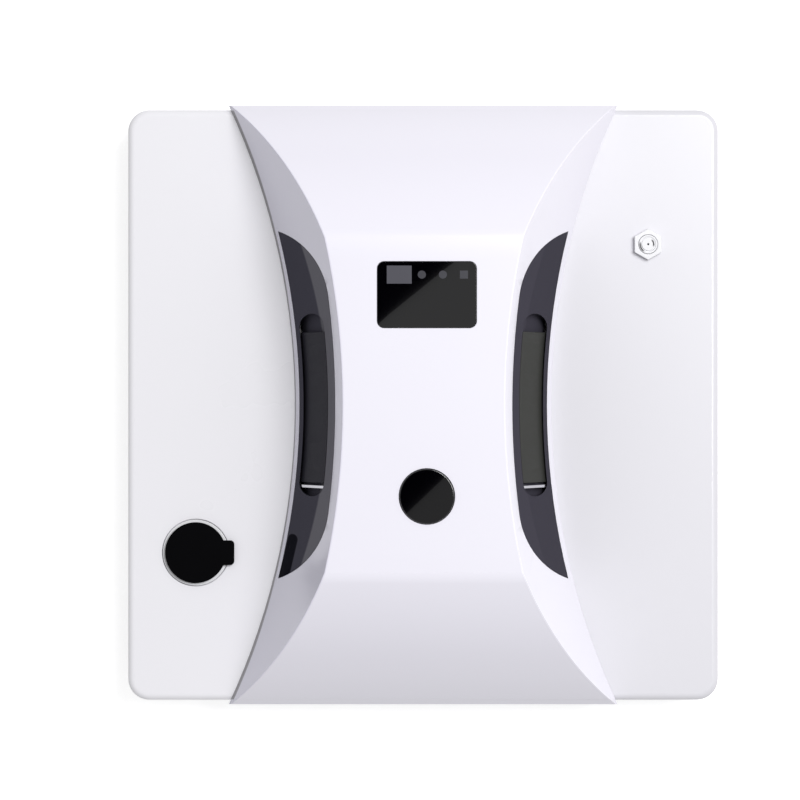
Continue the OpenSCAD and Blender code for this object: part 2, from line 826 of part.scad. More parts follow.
module grip(side) {
    color(soft_black)
        difference() {
            union() {
                intersection() {
                    bow_column(side, 0, deck_z + grip_foot, ceiling_z - over - fit);
                    wall_layer(side, 0, grip_depth, deck_z, top_z);
                }
                intersection() {
                    bow_column(side, grip_rim, deck_z + grip_foot, ceiling_z - over - fit);
                    wall_layer(side, cover_wall + fit, cover_wall + fit + rim_t, deck_z, top_z);
                }
            }
            intersection() {
                pocket_column(side, 0, deck_z, top_z);
                wall_layer(side, -over, pocket_depth, deck_z - over, top_z + over);
            }
        }
}

// A slice of the finger pocket between two places along the body and two depths
module pocket_slice(side, y0, y1, from, to) {
    intersection() {
        pocket_column(side, -fit, deck_z + grip_foot, top_z);
        wall_layer(side, from, to, deck_z, top_z + over);
        translate([side > 0 ? 0 : -axis_x, y0, deck_z])
            cube([axis_x, y1 - y0, bridge_h + over]);
    }
}

module grip_pad(side) {
    color(pad_grey)
        pocket_slice(side, -grip_pad_front, grip_pad_rear, pocket_depth - grip_pad_t, pocket_depth);
}

module grip_trim(side) {
    color(bright_metal)
        pocket_slice(side, -grip_pad_front - trim_gap - trim_t, -grip_pad_front - trim_gap,
                     pocket_depth - grip_pad_t - trim_t / 2, pocket_depth);
}

module left_grip() { grip(-1); }
module right_grip() { grip(1); }
module left_grip_pad() { grip_pad(-1); }
module right_grip_pad() { grip_pad(1); }
module left_grip_trim() { grip_trim(-1); }
module right_grip_trim() { grip_trim(1); }

// Display and button

module indicator(i, e) {
    translate([indicator_x + i * indicator_pitch, indicator_y]) {
        if (i == 2) square(indicator_w + 2 * e, center = true);
        else circle(d = indicator_w + 2 * e, $fn = round_fn);
    }
}

module display_window() {
    color(gloss_black)
        translate([panel_x, display_y, top_z - display_t])
            difference() {
                linear_extrude(display_t + window_proud) round_rect(display_w, display_d, display_r);
                translate([0, 0, display_t + window_proud - inlay_t])
                    linear_extrude(inlay_t + over) {
                        translate([receiver_x, indicator_y])
                            square([receiver_w + 2 * inlay_gap, receiver_d + 2 * inlay_gap], center = true);
                        for (i = [0 : 2]) indicator(i, inlay_gap);
                    }
            }
}

module receiver_window() {
    color([0.33, 0.33, 0.36])
        translate([panel_x + receiver_x, display_y + indicator_y, top_z + window_proud - inlay_t])
            linear_extrude(inlay_t) square([receiver_w, receiver_d], center = true);
}

module indicator_lenses() {
    color([0.35, 0.35, 0.4])
        translate([panel_x, display_y, top_z + window_proud - inlay_t])
            linear_extrude(inlay_t)
                for (i = [0 : 2]) indicator(i, 0);
}

module display_module() {
    h = top_z - display_t - module_gap - board_z;
    shrink = 2 * fit + module_gap;
    color("dimgray")
        translate([panel_x, display_y, board_z])
            linear_extrude(h)
                square([display_open_w - shrink, display_open_d - shrink], center = true);
}

module display_board() {
    color(board_green)
        difference() {
            translate([-display_board_w / 2, board_front_y, board_z - board_t])
                cube([display_board_w, board_rear_y - board_front_y, board_t]);
            for (sx = [-1, 1], y = board_post_ys)
                translate([sx * board_post_x, y, board_z - board_t - over])
                    cylinder(h = board_t + 2 * over, r = board_screw_r + fit, $fn = round_fn);
        }
}

module power_button() {
    flange_top = ceiling_z - flange_gap;
    stem_z = board_z + switch_h + plunger_h + button_travel + stop_gap;
    color(gloss_black)
        translate([panel_x, button_y, 0]) {
            translate([0, 0, flange_top - flange_t])
                cylinder(h = top_z + button_proud - flange_top + flange_t, r = button_dia / 2,
                         $fn = round_fn);
            translate([0, 0, flange_top - flange_t])
                cylinder(h = flange_t, r = button_dia / 2 + flange_w, $fn = round_fn);
            translate([0, 0, stem_z])
                cylinder(h = flange_top - stem_z, r = stem_r, $fn = round_fn);
        }
}

module button_switch() {
    color("silver")
        translate([panel_x, button_y, board_z]) {
            translate([-switch_w / 2, -switch_w / 2, 0]) cube([switch_w, switch_w, switch_h]);
            cylinder(h = switch_h + plunger_h, r = plunger_r, $fn = round_fn);
        }
}

// Filling port and water

module fill_cap() {
    z0 = deck_z + port_rise + cap_lift_gap;
    plug_r = port_bore / 2 - plug_gap;
    color(gloss_black)
        translate([port_x, port_y, 0])
            difference() {
                union() {
                    translate([0, 0, z0]) cylinder(h = cap_t, r = cap_dia / 2, $fn = round_fn);
                    translate([tab_reach / 2, 0, z0])
                        linear_extrude(cap_t) round_rect(tab_reach, tab_w, tab_r);
                    translate([0, 0, z0 - plug_h])
                        cylinder(h = plug_h + cap_t / 2, r = plug_r, $fn = round_fn);
                    translate([0, 0, z0 - plug_h + bead_r])
                        rotate_extrude($fn = round_fn)
                            translate([plug_r + plug_bead - bead_r, 0]) circle(r = bead_r, $fn = round_fn);
                }
                translate([0, 0, z0 - plug_h - over])
                    cylinder(h = plug_h + over, r = plug_r - plug_wall, $fn = round_fn);
            }
}

module fill_port_ring() {
    color(shell_white)
        translate([port_x, port_y, 0])
            difference() {
                union() {
                    translate([0, 0, deck_z - port_flange_t])
                        cylinder(h = port_flange_t + port_rise, r = port_dia / 2 - port_gap, $fn = round_fn);
                    translate([0, 0, tank_neck_z])
                        cylinder(h = deck_z - tank_neck_z, r = port_neck_r, $fn = round_fn);
                }
                translate([0, 0, tank_neck_z - over])
                    cylinder(h = deck_z, r = port_bore / 2, $fn = round_fn);
            }
}

module water_tank() {
    module body(e, z0, z1) {
        translate([tank_x, tank_front_y + tank_d / 2, z0])
            linear_extrude(z1 - z0) round_rect(tank_w - 2 * e, tank_d - 2 * e, tank_r - e);
    }
    color(tank_tint)
        difference() {
            union() {
                body(0, floor_top_z, tank_top_z);
                translate([port_x, port_y, tank_top_z - over])
                    cylinder(h = tank_neck_z - tank_top_z + over, r = port_neck_r, $fn = round_fn);
            }
            body(tank_wall, floor_top_z + tank_wall, tank_top_z - tank_wall);
            translate([port_x, port_y, tank_top_z - tank_wall - over])
                cylinder(h = tank_neck_z, r = port_bore / 2, $fn = round_fn);
            translate([tank_x, tank_front_y + tank_d - tank_wall - over, tank_hose_z])
                rotate([-90, 0, 0])
                    cylinder(h = tank_wall + 2 * over, r = hose_dia / 2 - hose_wall, $fn = round_fn);
        }
}

module water_pump() {
    head_y = pump_y + pump_d / 2;
    color("dimgray") {
        translate([tank_x - pump_w / 2, pump_y - pump_d / 2, floor_top_z])
            cube([pump_w, pump_d, pump_h]);
        translate([tank_x, head_y - over, floor_top_z + pump_h / 2])
            rotate([-90, 0, 0])
                cylinder(h = pump_head_l + over, r = pump_head_r, $fn = round_fn);
        translate([tank_x, head_y + pump_head_l - nipple_l, hose_z])
            rotate([-90, 0, 0])
                cylinder(h = 2 * nipple_l, r = nipple_r, $fn = round_fn);
        translate([tank_x, pump_y - pump_d / 2 - nipple_l, tank_hose_z])
            rotate([-90, 0, 0])
                cylinder(h = nipple_l + over, r = nipple_r, $fn = round_fn);
    }
}

module tank_hose() {
    y0 = tank_front_y + tank_d;
    y1 = pump_y - pump_d / 2;
    color("whitesmoke")
        translate([tank_x, y0, tank_hose_z])
            rotate([-90, 0, 0])
                tube(y1 - y0, hose_dia / 2, nipple_r + seat_fit);
}

module hose_section() {
    difference() {
        circle(d = hose_dia, $fn = round_fn);
        circle(r = nipple_r + seat_fit, $fn = round_fn);
    }
}

// Quarter bend in the XY plane, from the +X side of its centre to the +Y side
module hose_elbow(bend) {
    rotate_extrude(angle = 90, $fn = wide_fn)
        translate([bend, 0]) hose_section();
}

module spray_hose() {
    y0 = pump_y + pump_d / 2 + pump_head_l;
    color("whitesmoke") {
        translate([tank_x, y0, hose_z])
            rotate([-90, 0, 0])
                linear_extrude(hose_y - hose_bend - y0) hose_section();
        translate([tank_x + hose_bend, hose_y - hose_bend, hose_z])
            rotate([0, 0, 90]) hose_elbow(hose_bend);
        translate([tank_x + hose_bend, hose_y, hose_z])
            rotate([0, 90, 0])
                linear_extrude(nozzle_x - tank_x - 2 * hose_bend) hose_section();
        translate([nozzle_x - hose_bend, hose_y - hose_bend, hose_z])
            hose_elbow(hose_bend);
        translate([nozzle_x, hose_y - hose_bend, hose_z])
            rotate([90, 0, 0])
                linear_extrude(hose_y - hose_bend - nozzle_y - hose_rise) hose_section();
        translate([nozzle_x, nozzle_y + hose_rise, hose_z + hose_rise])
            rotate([0, 90, 0])
                rotate([0, 0, -90])
                    hose_elbow(hose_rise);
    }
}

module nozzle_body() {
    color(shell_white)
        translate([nozzle_x, nozzle_y, 0])
            difference() {
                union() {
                    translate([0, 0, deck_z]) hexagon(nozzle_h, nozzle_af);
                    translate([0, 0, nozzle_shank_z])
                        cylinder(h = deck_z - nozzle_shank_z + over, r = nozzle_shank_r, $fn = round_fn);
                }
                translate([0, 0, deck_z + nozzle_h - nozzle_tip_deep])
                    cylinder(h = nozzle_tip_deep + over, r = nozzle_tip_dia / 2 + fit, $fn = round_fn);
                translate([0, 0, nozzle_shank_z - over])
                    cylinder(h = nozzle_h + deck_z, r = nozzle_duct_r, $fn = round_fn);
            }
}

module nozzle_tip() {
    z0 = deck_z + nozzle_h - nozzle_tip_deep;
    h = nozzle_tip_deep + nozzle_tip_rise;
    color(shell_white)
        translate([nozzle_x, nozzle_y, z0])
            difference() {
                cylinder(h = h, r = nozzle_tip_dia / 2, $fn = round_fn);
                translate([0, 0, h - nozzle_ledge])
                    tube(nozzle_ledge + over, nozzle_disc_r + nozzle_ledge, nozzle_disc_r);
                translate([0, 0, -over])
                    cylinder(h = h + 2 * over, r = nozzle_orifice_r, $fn = round_fn);
            }
}

module nozzle_nut() {
    color("silver")
        translate([nozzle_x, nozzle_y, deck_under_z - nozzle_nut_h])
            difference() {
                hexagon(nozzle_nut_h, nozzle_af);
                translate([0, 0, -over])
                    cylinder(h = nozzle_nut_h + 2 * over, r = nozzle_shank_r + seat_fit, $fn = round_fn);
            }
}

// Suction fan

module fan_housing() {
    in_r = fan_r - fan_wall;
    color("lightgray")
        difference() {
            union() {
                translate([0, 0, floor_top_z])
                    cylinder(h = fan_top_z - floor_top_z, r = fan_r, $fn = wide_fn);
                translate([-duct_w / 2, duct_end_y, duct_z - duct_wall])
                    cube([duct_w, -duct_end_y, duct_h + 2 * duct_wall]);
            }
            translate([0, 0, floor_top_z + housing_floor_t])
                cylinder(h = fan_top_z - floor_top_z - housing_floor_t - fan_wall, r = in_r, $fn = wide_fn);
            translate([0, 0, floor_top_z - over])
                cylinder(h = housing_floor_t + 2 * over, r = fan_inlet_r, $fn = round_fn);
            translate([0, 0, fan_top_z - fan_wall - over])
                cylinder(h = fan_wall + 2 * over, r = shaft_r + shaft_hole_gap, $fn = round_fn);
            translate([-duct_w / 2 + duct_wall, duct_end_y - over, duct_z])
                cube([duct_w - 2 * duct_wall, -duct_end_y - in_r + fan_wall * 2 + over, duct_h]);
        }
}

module fan_impeller() {
    color("gainsboro")
        difference() {
            union() {
                translate([0, 0, impeller_z]) cylinder(h = impeller_h, r = hub_r, $fn = round_fn);
                translate([0, 0, impeller_z + impeller_h - disc_t])
                    cylinder(h = disc_t, r = impeller_r, $fn = wide_fn);
                intersection() {
                    translate([0, 0, impeller_z])
                        cylinder(h = impeller_h - disc_t / 2, r = impeller_r - over / 2, $fn = wide_fn);
                    for (i = [0 : blade_count - 1])
                        rotate([0, 0, i * 360 / blade_count])
                            translate([hub_r - over / 2, 0, impeller_z])
                                rotate([0, 0, blade_lean])
                                    translate([0, -blade_t / 2, 0])
                                        cube([impeller_r + blade_t, blade_t, impeller_h]);
                }
            }
            translate([0, 0, impeller_z - over])
                cylinder(h = impeller_h + 2 * over, r = shaft_r + seat_fit, $fn = round_fn);
        }
}

module fan_shaft() {
    color(bright_metal)
        translate([0, 0, impeller_z])
            cylinder(h = shaft_top_z - impeller_z, r = shaft_r, $fn = round_fn);
}

module fan_motor() {
    color("silver")
        difference() {
            union() {
                translate([0, 0, fan_top_z]) cylinder(h = fan_motor_h, r = fan_motor_r, $fn = round_fn);
                translate([0, 0, fan_top_z + fan_motor_h - over])
                    cylinder(h = motor_cap_h + over, r = motor_cap_r, $fn = round_fn);
            }
            translate([0, 0, fan_top_z - over])
                cylinder(h = shaft_top_z - fan_top_z + over + motor_can_gap, r = shaft_r + run_fit,
                         $fn = round_fn);
        }
}

module inlet_grille() {
    ring_rs = [for (r = [grille_pitch : grille_pitch : grille_hole_r - grille_pitch / 2]) r];
    color(soft_black)
        translate([0, 0, floor_z]) {
            tube(grille_t, grille_r, grille_hole_r - grille_ring_w);
            for (r = ring_rs) tube(grille_t, r + grille_ring_w / 2, r - grille_ring_w / 2);
            for (i = [0 : grille_spokes - 1])
                rotate([0, 0, i * 360 / grille_spokes])
                    translate([grille_pitch - grille_ring_w / 4, -grille_ring_w / 2, 0])
                        cube([grille_hole_r - grille_pitch, grille_ring_w, grille_t]);
        }
}

// Belts and their drive

// Place and turn of a lug whose distance along the belt is s, as [y, z, angle]
function lug_place(s) =
    let (arc = PI * belt_pitch_r)
    s < axle_y ? [s, axle_z - belt_pitch_r, 0]
    : s < axle_y + arc ? turn_place(axle_y, (s - axle_y) / belt_pitch_r * 180 / PI)
    : s < 3 * axle_y + arc ? [2 * axle_y + arc - s, axle_z + belt_pitch_r, 180]
    : s < 3 * axle_y + 2 * arc
        ? turn_place(-axle_y, 180 + (s - 3 * axle_y - arc) / belt_pitch_r * 180 / PI)
    : [s - 4 * axle_y - 2 * arc, axle_z - belt_pitch_r, 0];

function turn_place(y, turn) =
    [y + belt_pitch_r * sin(turn), axle_z - belt_pitch_r * cos(turn), turn];

module belt(side) {
    band = belt_out_r - belt_pitch_r;
    color([0.1, 0.1, 0.1])
        translate([side * belt_x - belt_w / 2, 0, 0]) {
            difference() {
                belt_outline(belt_out_r, 0);
                belt_outline(belt_in_r, over);
            }
            for (i = [0 : lug_count - 1])
                let (place = lug_place(i * belt_pitch))
                    translate([0, place[0], place[1]])
                        rotate([place[2], 0, 0])
                            translate([0, -lug_l / 2, -band - lug_h])
                                cube([belt_w, lug_l, lug_h + lug_sink]);
        }
}

module belt_outline(r, e) {
    for (s = [-1, 1])
        translate([-e, s * axle_y, axle_z])
            rotate([0, 90, 0]) cylinder(h = belt_w + 2 * e, r = r, $fn = wide_fn / 3);
    translate([-e, -axle_y, axle_z - r]) cube([belt_w + 2 * e, 2 * axle_y, 2 * r]);
}

module wheel(side, s, bore) {
    color("dimgray")
        translate([side * belt_x, s * axle_y, axle_z])
            rotate([0, 90, 0])
                difference() {
                    cylinder(h = belt_w - 2 * hub_gap, r = wheel_r, center = true, $fn = round_fn);
                    for (i = [0 : wheel_teeth - 1])
                        rotate([0, 0, i * 360 / wheel_teeth])
                            translate([wheel_r, 0, 0])
                                cylinder(h = belt_w, r = groove_r, center = true, $fn = round_fn);
                    cylinder(h = belt_w, r = bore, center = true, $fn = round_fn);
                }
}

module cross_axle(side, s, x0, x1) {
    color(bright_metal)
        translate([side > 0 ? x0 : -x1, s * axle_y, axle_z])
            rotate([0, 90, 0]) cylinder(h = x1 - x0, r = axle_r, $fn = round_fn);
}

module drive_axle(side) {
    cross_axle(side, -1, bay_in_x - bay_wall - gearmotor_hold, bay_out_x + bay_wall);
}

module idler_pin(side) {
    cross_axle(side, 1, bay_in_x - bay_wall, bay_out_x + bay_wall);
}

module gearmotor(side) {
    x1 = bay_in_x - bay_wall;
    color("silver")
        translate([side * (x1 - gearmotor_l / 2), -axle_y, axle_z])
            rotate([0, 90, 0])
                difference() {
                    cylinder(h = gearmotor_l, r = gearmotor_dia / 2, center = true, $fn = round_fn);
                    translate([0, 0, side * (gearmotor_l / 2 + over - gearmotor_hold / 2)])
                        cylinder(h = gearmotor_hold + 2 * over, r = axle_r + run_fit, center = true,
                                 $fn = round_fn);
                }
}

module left_belt() { belt(-1); }
module right_belt() { belt(1); }
module left_drive_wheel() { wheel(-1, -1, axle_r + seat_fit); }
module right_drive_wheel() { wheel(1, -1, axle_r + seat_fit); }
module left_idler_wheel() { wheel(-1, 1, axle_r + run_fit); }
module right_idler_wheel() { wheel(1, 1, axle_r + run_fit); }
module left_drive_axle() { drive_axle(-1); }
module right_drive_axle() { drive_axle(1); }
module left_idler_pin() { idler_pin(-1); }
module right_idler_pin() { idler_pin(1); }
module left_gearmotor() { gearmotor(-1); }
module right_gearmotor() { gearmotor(1); }

// Boards, battery and power

standoff_places = [for (sx = [-1, 1], sy = [-1, 1]) [
    sx * (main_board_w / 2 - standoff_inset), main_board_y + sy * (main_board_d / 2 - standoff_inset)
]];

module main_board() {
    z0 = deck_z + standoff_h;
    color(board_green)
        translate([0, main_board_y, z0]) {
            translate([-main_board_w / 2, -main_board_d / 2, 0])
                cube([main_board_w, main_board_d, board_t]);
            translate([-chip_w / 2, -chip_w / 2, board_t - over / 2])
                cube([chip_w, chip_w, chip_h + over / 2]);
            for (s = [-1, 1])
                translate([s * main_board_w / 4 - socket_w / 2, -main_board_d / 2, board_t - over / 2])
                    cube([socket_w, socket_d, socket_h + over / 2]);
        }
}

module board_standoffs() {
    color("gold")
        for (p = standoff_places)
            translate([p[0], p[1], deck_z])
                hexagon(standoff_h, 2 * standoff_r);
}

module battery_pack() {
    floor_h = floor_top_z + battery_tray_t;
    color([0.2, 0.35, 0.6])
        for (i = [0 : cells_across - 1], sy = [-1, 1])
            translate([battery_x - battery_w / 2 + (i + 0.5) * cell_dia, battery_y + sy * (cell_l / 2),
                       floor_h + cell_dia / 2])
                rotate([90, 0, 0])
                    cylinder(h = cell_l, r = (cell_dia - battery_gap) / 2, center = true, $fn = round_fn);
    color("dimgray")
        translate([battery_x - battery_w / 2, battery_y - cell_l, floor_top_z])
            cube([battery_w, 2 * cell_l, battery_tray_t + battery_gap]);
}

module power_inlet() {
    wall_y = body_d / 2 - body_wall;
    color(gloss_black)
        difference() {
            union() {
                translate([0, end_y + inlet_proud, inlet_z])
                    rotate([90, 0, 0])
                        cylinder(h = end_y + inlet_proud - wall_y + over, r = inlet_dia / 2, $fn = round_fn);
                translate([-inlet_body_w / 2, wall_y - inlet_body_l, inlet_z - inlet_body_h / 2])
                    cube([inlet_body_w, inlet_body_l, inlet_body_h]);
            }
            translate([0, end_y + inlet_proud + over, inlet_z])
                rotate([90, 0, 0])
                    difference() {
                        cylinder(h = inlet_deep + over, r = inlet_bore_r, $fn = round_fn);
                        translate([0, 0, over * 2]) cylinder(h = inlet_deep, r = inlet_pin_r, $fn = round_fn);
                    }
        }
}

// Underside

module pad_outline(e) {
    difference() {
        round_rect(pad_w - 2 * e, pad_d - 2 * e, pad_r);
        round_rect(pad_in_w + 2 * e, pad_in_d + 2 * e, pad_in_r);
        for (sx = [-1, 1], sy = [-1, 1])
            translate([sx * notch_x, sy * notch_y]) circle(r = notch_r + e, $fn = round_fn);
    }
}

module cleaning_pad() {
    color(cloth_blue)
        translate([0, 0, pad_lift])
            linear_extrude(pad_top_z - pad_lift) pad_outline(0);
}

module hook_tape() {
    color("whitesmoke")
        translate([0, 0, pad_top_z])
            linear_extrude(tape_t)
                difference() {
                    pad_outline(tape_inset);
                    for (sx = [-1, 1], sy = [-1, 1])
                        translate([sx * notch_x, sy * notch_y])
                            square(2 * (notch_r + tape_gap), center = true);
                }
}

module edge_sensors() {
    color(gloss_black)
        for (sx = [-1, 1], sy = [-1, 1])
            translate([sx * sensor_x, sy * sensor_y, floor_z - sensor_proud]) {
                cylinder(h = body_wall + sensor_proud + sensor_rim_t, r = sensor_r, $fn = round_fn);
                translate([0, 0, body_wall + sensor_proud])
                    cylinder(h = sensor_rim_t, r = sensor_rim_r, $fn = round_fn);
            }
}

// Screws, with the drive recess in the head

module screw(l, shank, head_r, head_h) {
    difference() {
        union() {
            cylinder(h = head_h, r = head_r, $fn = round_fn);
            translate([0, 0, head_h - seat_fit]) cylinder(h = l, r = shank, $fn = round_fn);
        }
        for (a = [0, 90])
            rotate([0, 0, a])
                translate([-head_r * drive_length_share, -head_r * drive_width_share, -over])
                    cube([2 * head_r * drive_length_share, 2 * head_r * drive_width_share,
                          head_h * drive_depth_share + over]);
    }
}

module casing_screws() {
    color(bright_metal)
        for (p = post_places)
            translate([p[0], p[1], head_deep_z - screw_head_h])
                screw(split_z - head_deep_z + pilot_deep - over, screw_r, screw_head_r, screw_head_h);
}

module cover_screws() {
    color(bright_metal)
        for (p = cover_posts)
            translate([p[0], p[1], deck_under_z - screw_head_h])
                screw(body_wall + pilot_deep - over, screw_r, screw_head_r, screw_head_h);
}

module board_screws() {
    color(bright_metal)
        for (sx = [-1, 1], y = board_post_ys)
            translate([sx * board_post_x, y, board_z - board_t - board_screw_head_h])
                screw(board_t + board_screw_l - over, board_screw_r, board_screw_head_r, board_screw_head_h);
}

base_tray();
upper_deck();
bridge_cover();
left_grip();
right_grip();
left_grip_pad();
right_grip_pad();
left_grip_trim();
right_grip_trim();
display_window();
receiver_window();
indicator_lenses();
display_module();
display_board();
power_button();
button_switch();
fill_cap();
fill_port_ring();
water_tank();
water_pump();
tank_hose();
spray_hose();
nozzle_body();
nozzle_tip();
nozzle_nut();
fan_housing();
fan_impeller();
fan_shaft();
fan_motor();
inlet_grille();
left_belt();
right_belt();
left_drive_wheel();
right_drive_wheel();
left_drive_axle();
right_drive_axle();
left_idler_wheel();
right_idler_wheel();
left_idler_pin();
right_idler_pin();
left_gearmotor();
right_gearmotor();
main_board();
board_standoffs();
battery_pack();
power_inlet();
cleaning_pad();
hook_tape();
edge_sensors();
casing_screws();
cover_screws();
board_screws();
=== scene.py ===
import json
import math

import bmesh
import bpy
from mathutils import Matrix, Vector

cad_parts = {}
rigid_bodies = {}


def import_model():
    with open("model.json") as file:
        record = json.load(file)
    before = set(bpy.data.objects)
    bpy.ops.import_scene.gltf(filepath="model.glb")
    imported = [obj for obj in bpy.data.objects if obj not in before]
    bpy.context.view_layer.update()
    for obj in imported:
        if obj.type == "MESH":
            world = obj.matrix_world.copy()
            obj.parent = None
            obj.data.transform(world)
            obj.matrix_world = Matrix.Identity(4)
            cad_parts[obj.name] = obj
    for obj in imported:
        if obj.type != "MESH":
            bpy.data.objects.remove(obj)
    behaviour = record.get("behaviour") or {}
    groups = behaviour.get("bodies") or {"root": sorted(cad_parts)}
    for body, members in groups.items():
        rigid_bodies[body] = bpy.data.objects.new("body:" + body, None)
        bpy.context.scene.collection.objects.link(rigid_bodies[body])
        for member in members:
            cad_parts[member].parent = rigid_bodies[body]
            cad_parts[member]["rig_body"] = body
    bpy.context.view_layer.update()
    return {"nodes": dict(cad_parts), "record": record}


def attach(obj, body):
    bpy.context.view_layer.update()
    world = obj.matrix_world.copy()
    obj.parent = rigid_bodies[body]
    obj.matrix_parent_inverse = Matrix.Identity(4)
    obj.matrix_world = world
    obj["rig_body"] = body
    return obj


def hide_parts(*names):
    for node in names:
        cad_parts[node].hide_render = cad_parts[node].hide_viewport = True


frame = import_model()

scene = bpy.context.scene
nodes = frame["nodes"]
MM = 0.001


# Measures of the bridge, the pad, the display and the nozzle, as the CAD has them

DECK_Z = 34 * MM
TOP_Z = 84 * MM
WALL_AXIS_X = 340.2 * MM
WALL_R = 288 * MM
WALL_SLOPE = (52.2 - 32) / 50
ARC_CENTRE = (18.33 * MM, -27.20 * MM)
ARC_R = 121 * MM
PAD_BACK_Z = 5 * MM
PAD_FACE_Z = 0.3 * MM
PAD_OUTER = (117 * MM, 117.5 * MM)
PAD_INNER = (82 * MM, 80 * MM)
SEAM_INSET = 5 * MM
DISPLAY_CENTRE = (1.2 * MM, 43.5 * MM)
NOZZLE_CENTRE = (91.3 * MM, 65.2 * MM)


# Camera: straight down on the robot, at the photo's scale

PHOTO_SIDE_PX = 800
PLATE_PX = 590.5
PLATE_W = 0.24
LENS = 180
SENSOR = 36
VIEW_X = -9.4 * MM
VIEW_Y = 2.0 * MM

frame_w = PHOTO_SIDE_PX * PLATE_W / PLATE_PX
camera_data = bpy.data.cameras.new("camera")
camera_data.lens = LENS
camera_data.sensor_width = SENSOR
camera_data.clip_end = 20
camera = bpy.data.objects.new("camera", camera_data)
scene.collection.objects.link(camera)
camera.location = (VIEW_X, VIEW_Y, DECK_Z + frame_w * LENS / SENSOR)
scene.camera = camera


# Mesh helpers

def new_object(name, bm):
    mesh = bpy.data.meshes.new(name)
    bm.to_mesh(mesh)
    bm.free()
    piece = bpy.data.objects.new(name, mesh)
    scene.collection.objects.link(piece)
    return piece


def shade(bm, sharp_deg):
    """Smooth faces, with edges steeper than sharp_deg kept crisp."""
    for face in bm.faces:
        face.smooth = True
    for edge in bm.edges:
        steep = len(edge.link_faces) == 2 and edge.calc_face_angle(0) > math.radians(sharp_deg)
        edge.smooth = not steep


def merged_copy(node):
    bm = bmesh.new()
    bm.from_mesh(nodes[node].data)
    bmesh.ops.remove_doubles(bm, verts=bm.verts, dist=2e-6)
    bmesh.ops.dissolve_limit(bm, angle_limit=math.radians(0.4), verts=bm.verts, edges=bm.edges)
    return bm


def round_edges(bm, radius, segments=3, steep_deg=30, chosen=None):
    edges = [e for e in bm.edges
             if len(e.link_faces) == 2 and e.calc_face_angle(0) > math.radians(steep_deg)
             and (chosen is None or chosen(e))]
    bmesh.ops.bevel(bm, geom=edges, offset=radius, segments=segments, affect="EDGES",
                    profile=0.5, material=-1, clamp_overlap=True)


def stand_in(piece, node, material):
    """A modelled piece takes the place of a CAD node."""
    piece.data.materials.append(material)
    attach(piece, nodes[node]["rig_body"])
    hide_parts(node)
    return piece


def even_normals(piece):
    """Keeps wide faces looking flat beside their rounded edges."""
    level = piece.modifiers.new("even_normals", "WEIGHTED_NORMAL")
    level.keep_sharp = True
    level.weight = 90


def softened(node, material, radius, segments=3, steep_deg=30, chosen=None):
    bm = merged_copy(node)
    round_edges(bm, radius, segments, steep_deg, chosen)
    shade(bm, 50)
    piece = stand_in(new_object("soft_" + node, bm), node, material)
    even_normals(piece)
    return piece


# Node groups

def group(name, inputs, outputs):
    tree = bpy.data.node_groups.new(name, "ShaderNodeTree")
    for label, kind, value in inputs:
        socket = tree.interface.new_socket(label, in_out="INPUT", socket_type=kind)
        socket.default_value = value
    for label, kind in outputs:
        tree.interface.new_socket(label, in_out="OUTPUT", socket_type=kind)
    start = tree.nodes.new("NodeGroupInput")
    end = tree.nodes.new("NodeGroupOutput")
    return tree, start, end


def maths(tree, operation, *values):
    node = tree.nodes.new("ShaderNodeMath")
    node.operation = operation
    for i, value in enumerate(values):
        if isinstance(value, (int, float)):
            node.inputs[i].default_value = value
        else:
            tree.links.new(value, node.inputs[i])
    return node.outputs[0]


def moulded_group():
    """Fine skin of a moulding: a faint orange-peel height, and patches of roughness from handling."""
    tree, start, end = group(
        "moulded_skin",
        [("Grain Scale", "NodeSocketFloat", 900.0), ("Patch Scale", "NodeSocketFloat", 14.0),
         ("Roughness", "NodeSocketFloat", 0.3), ("Spread", "NodeSocketFloat", 0.06)],
        [("Height", "NodeSocketFloat"), ("Roughness", "NodeSocketFloat"), ("Mask", "NodeSocketFloat")],
    )
    add, link = tree.nodes.new, tree.links.new
    place = add("ShaderNodeTexCoord")
    grain = add("ShaderNodeTexNoise")
    grain.inputs["Detail"].default_value = 3
    link(place.outputs["Object"], grain.inputs["Vector"])
    link(start.outputs["Grain Scale"], grain.inputs["Scale"])
    patch = add("ShaderNodeTexNoise")
    patch.inputs["Detail"].default_value = 4
    link(place.outputs["Object"], patch.inputs["Vector"])
    link(start.outputs["Patch Scale"], patch.inputs["Scale"])
    shift = add("ShaderNodeMath")
    shift.operation = "SUBTRACT"
    shift.inputs[1].default_value = 0.5
    link(patch.outputs["Fac"], shift.inputs[0])
    spread = add("ShaderNodeMath")
    spread.operation = "MULTIPLY_ADD"
    link(shift.outputs[0], spread.inputs[0])
    link(start.outputs["Spread"], spread.inputs[1])
    link(start.outputs["Roughness"], spread.inputs[2])
    link(grain.outputs["Fac"], end.inputs["Height"])
    link(spread.outputs[0], end.inputs["Roughness"])
    link(patch.outputs["Fac"], end.inputs["Mask"])
    return tree


MOULDED = moulded_group()


def principled(name, **values):
    material = bpy.data.materials.new(name)
    material.use_nodes = True
    shader = material.node_tree.nodes["Principled BSDF"]
    for label, value in values.items():
        shader.inputs[label.replace("_", " ")].default_value = value
    return material, shader


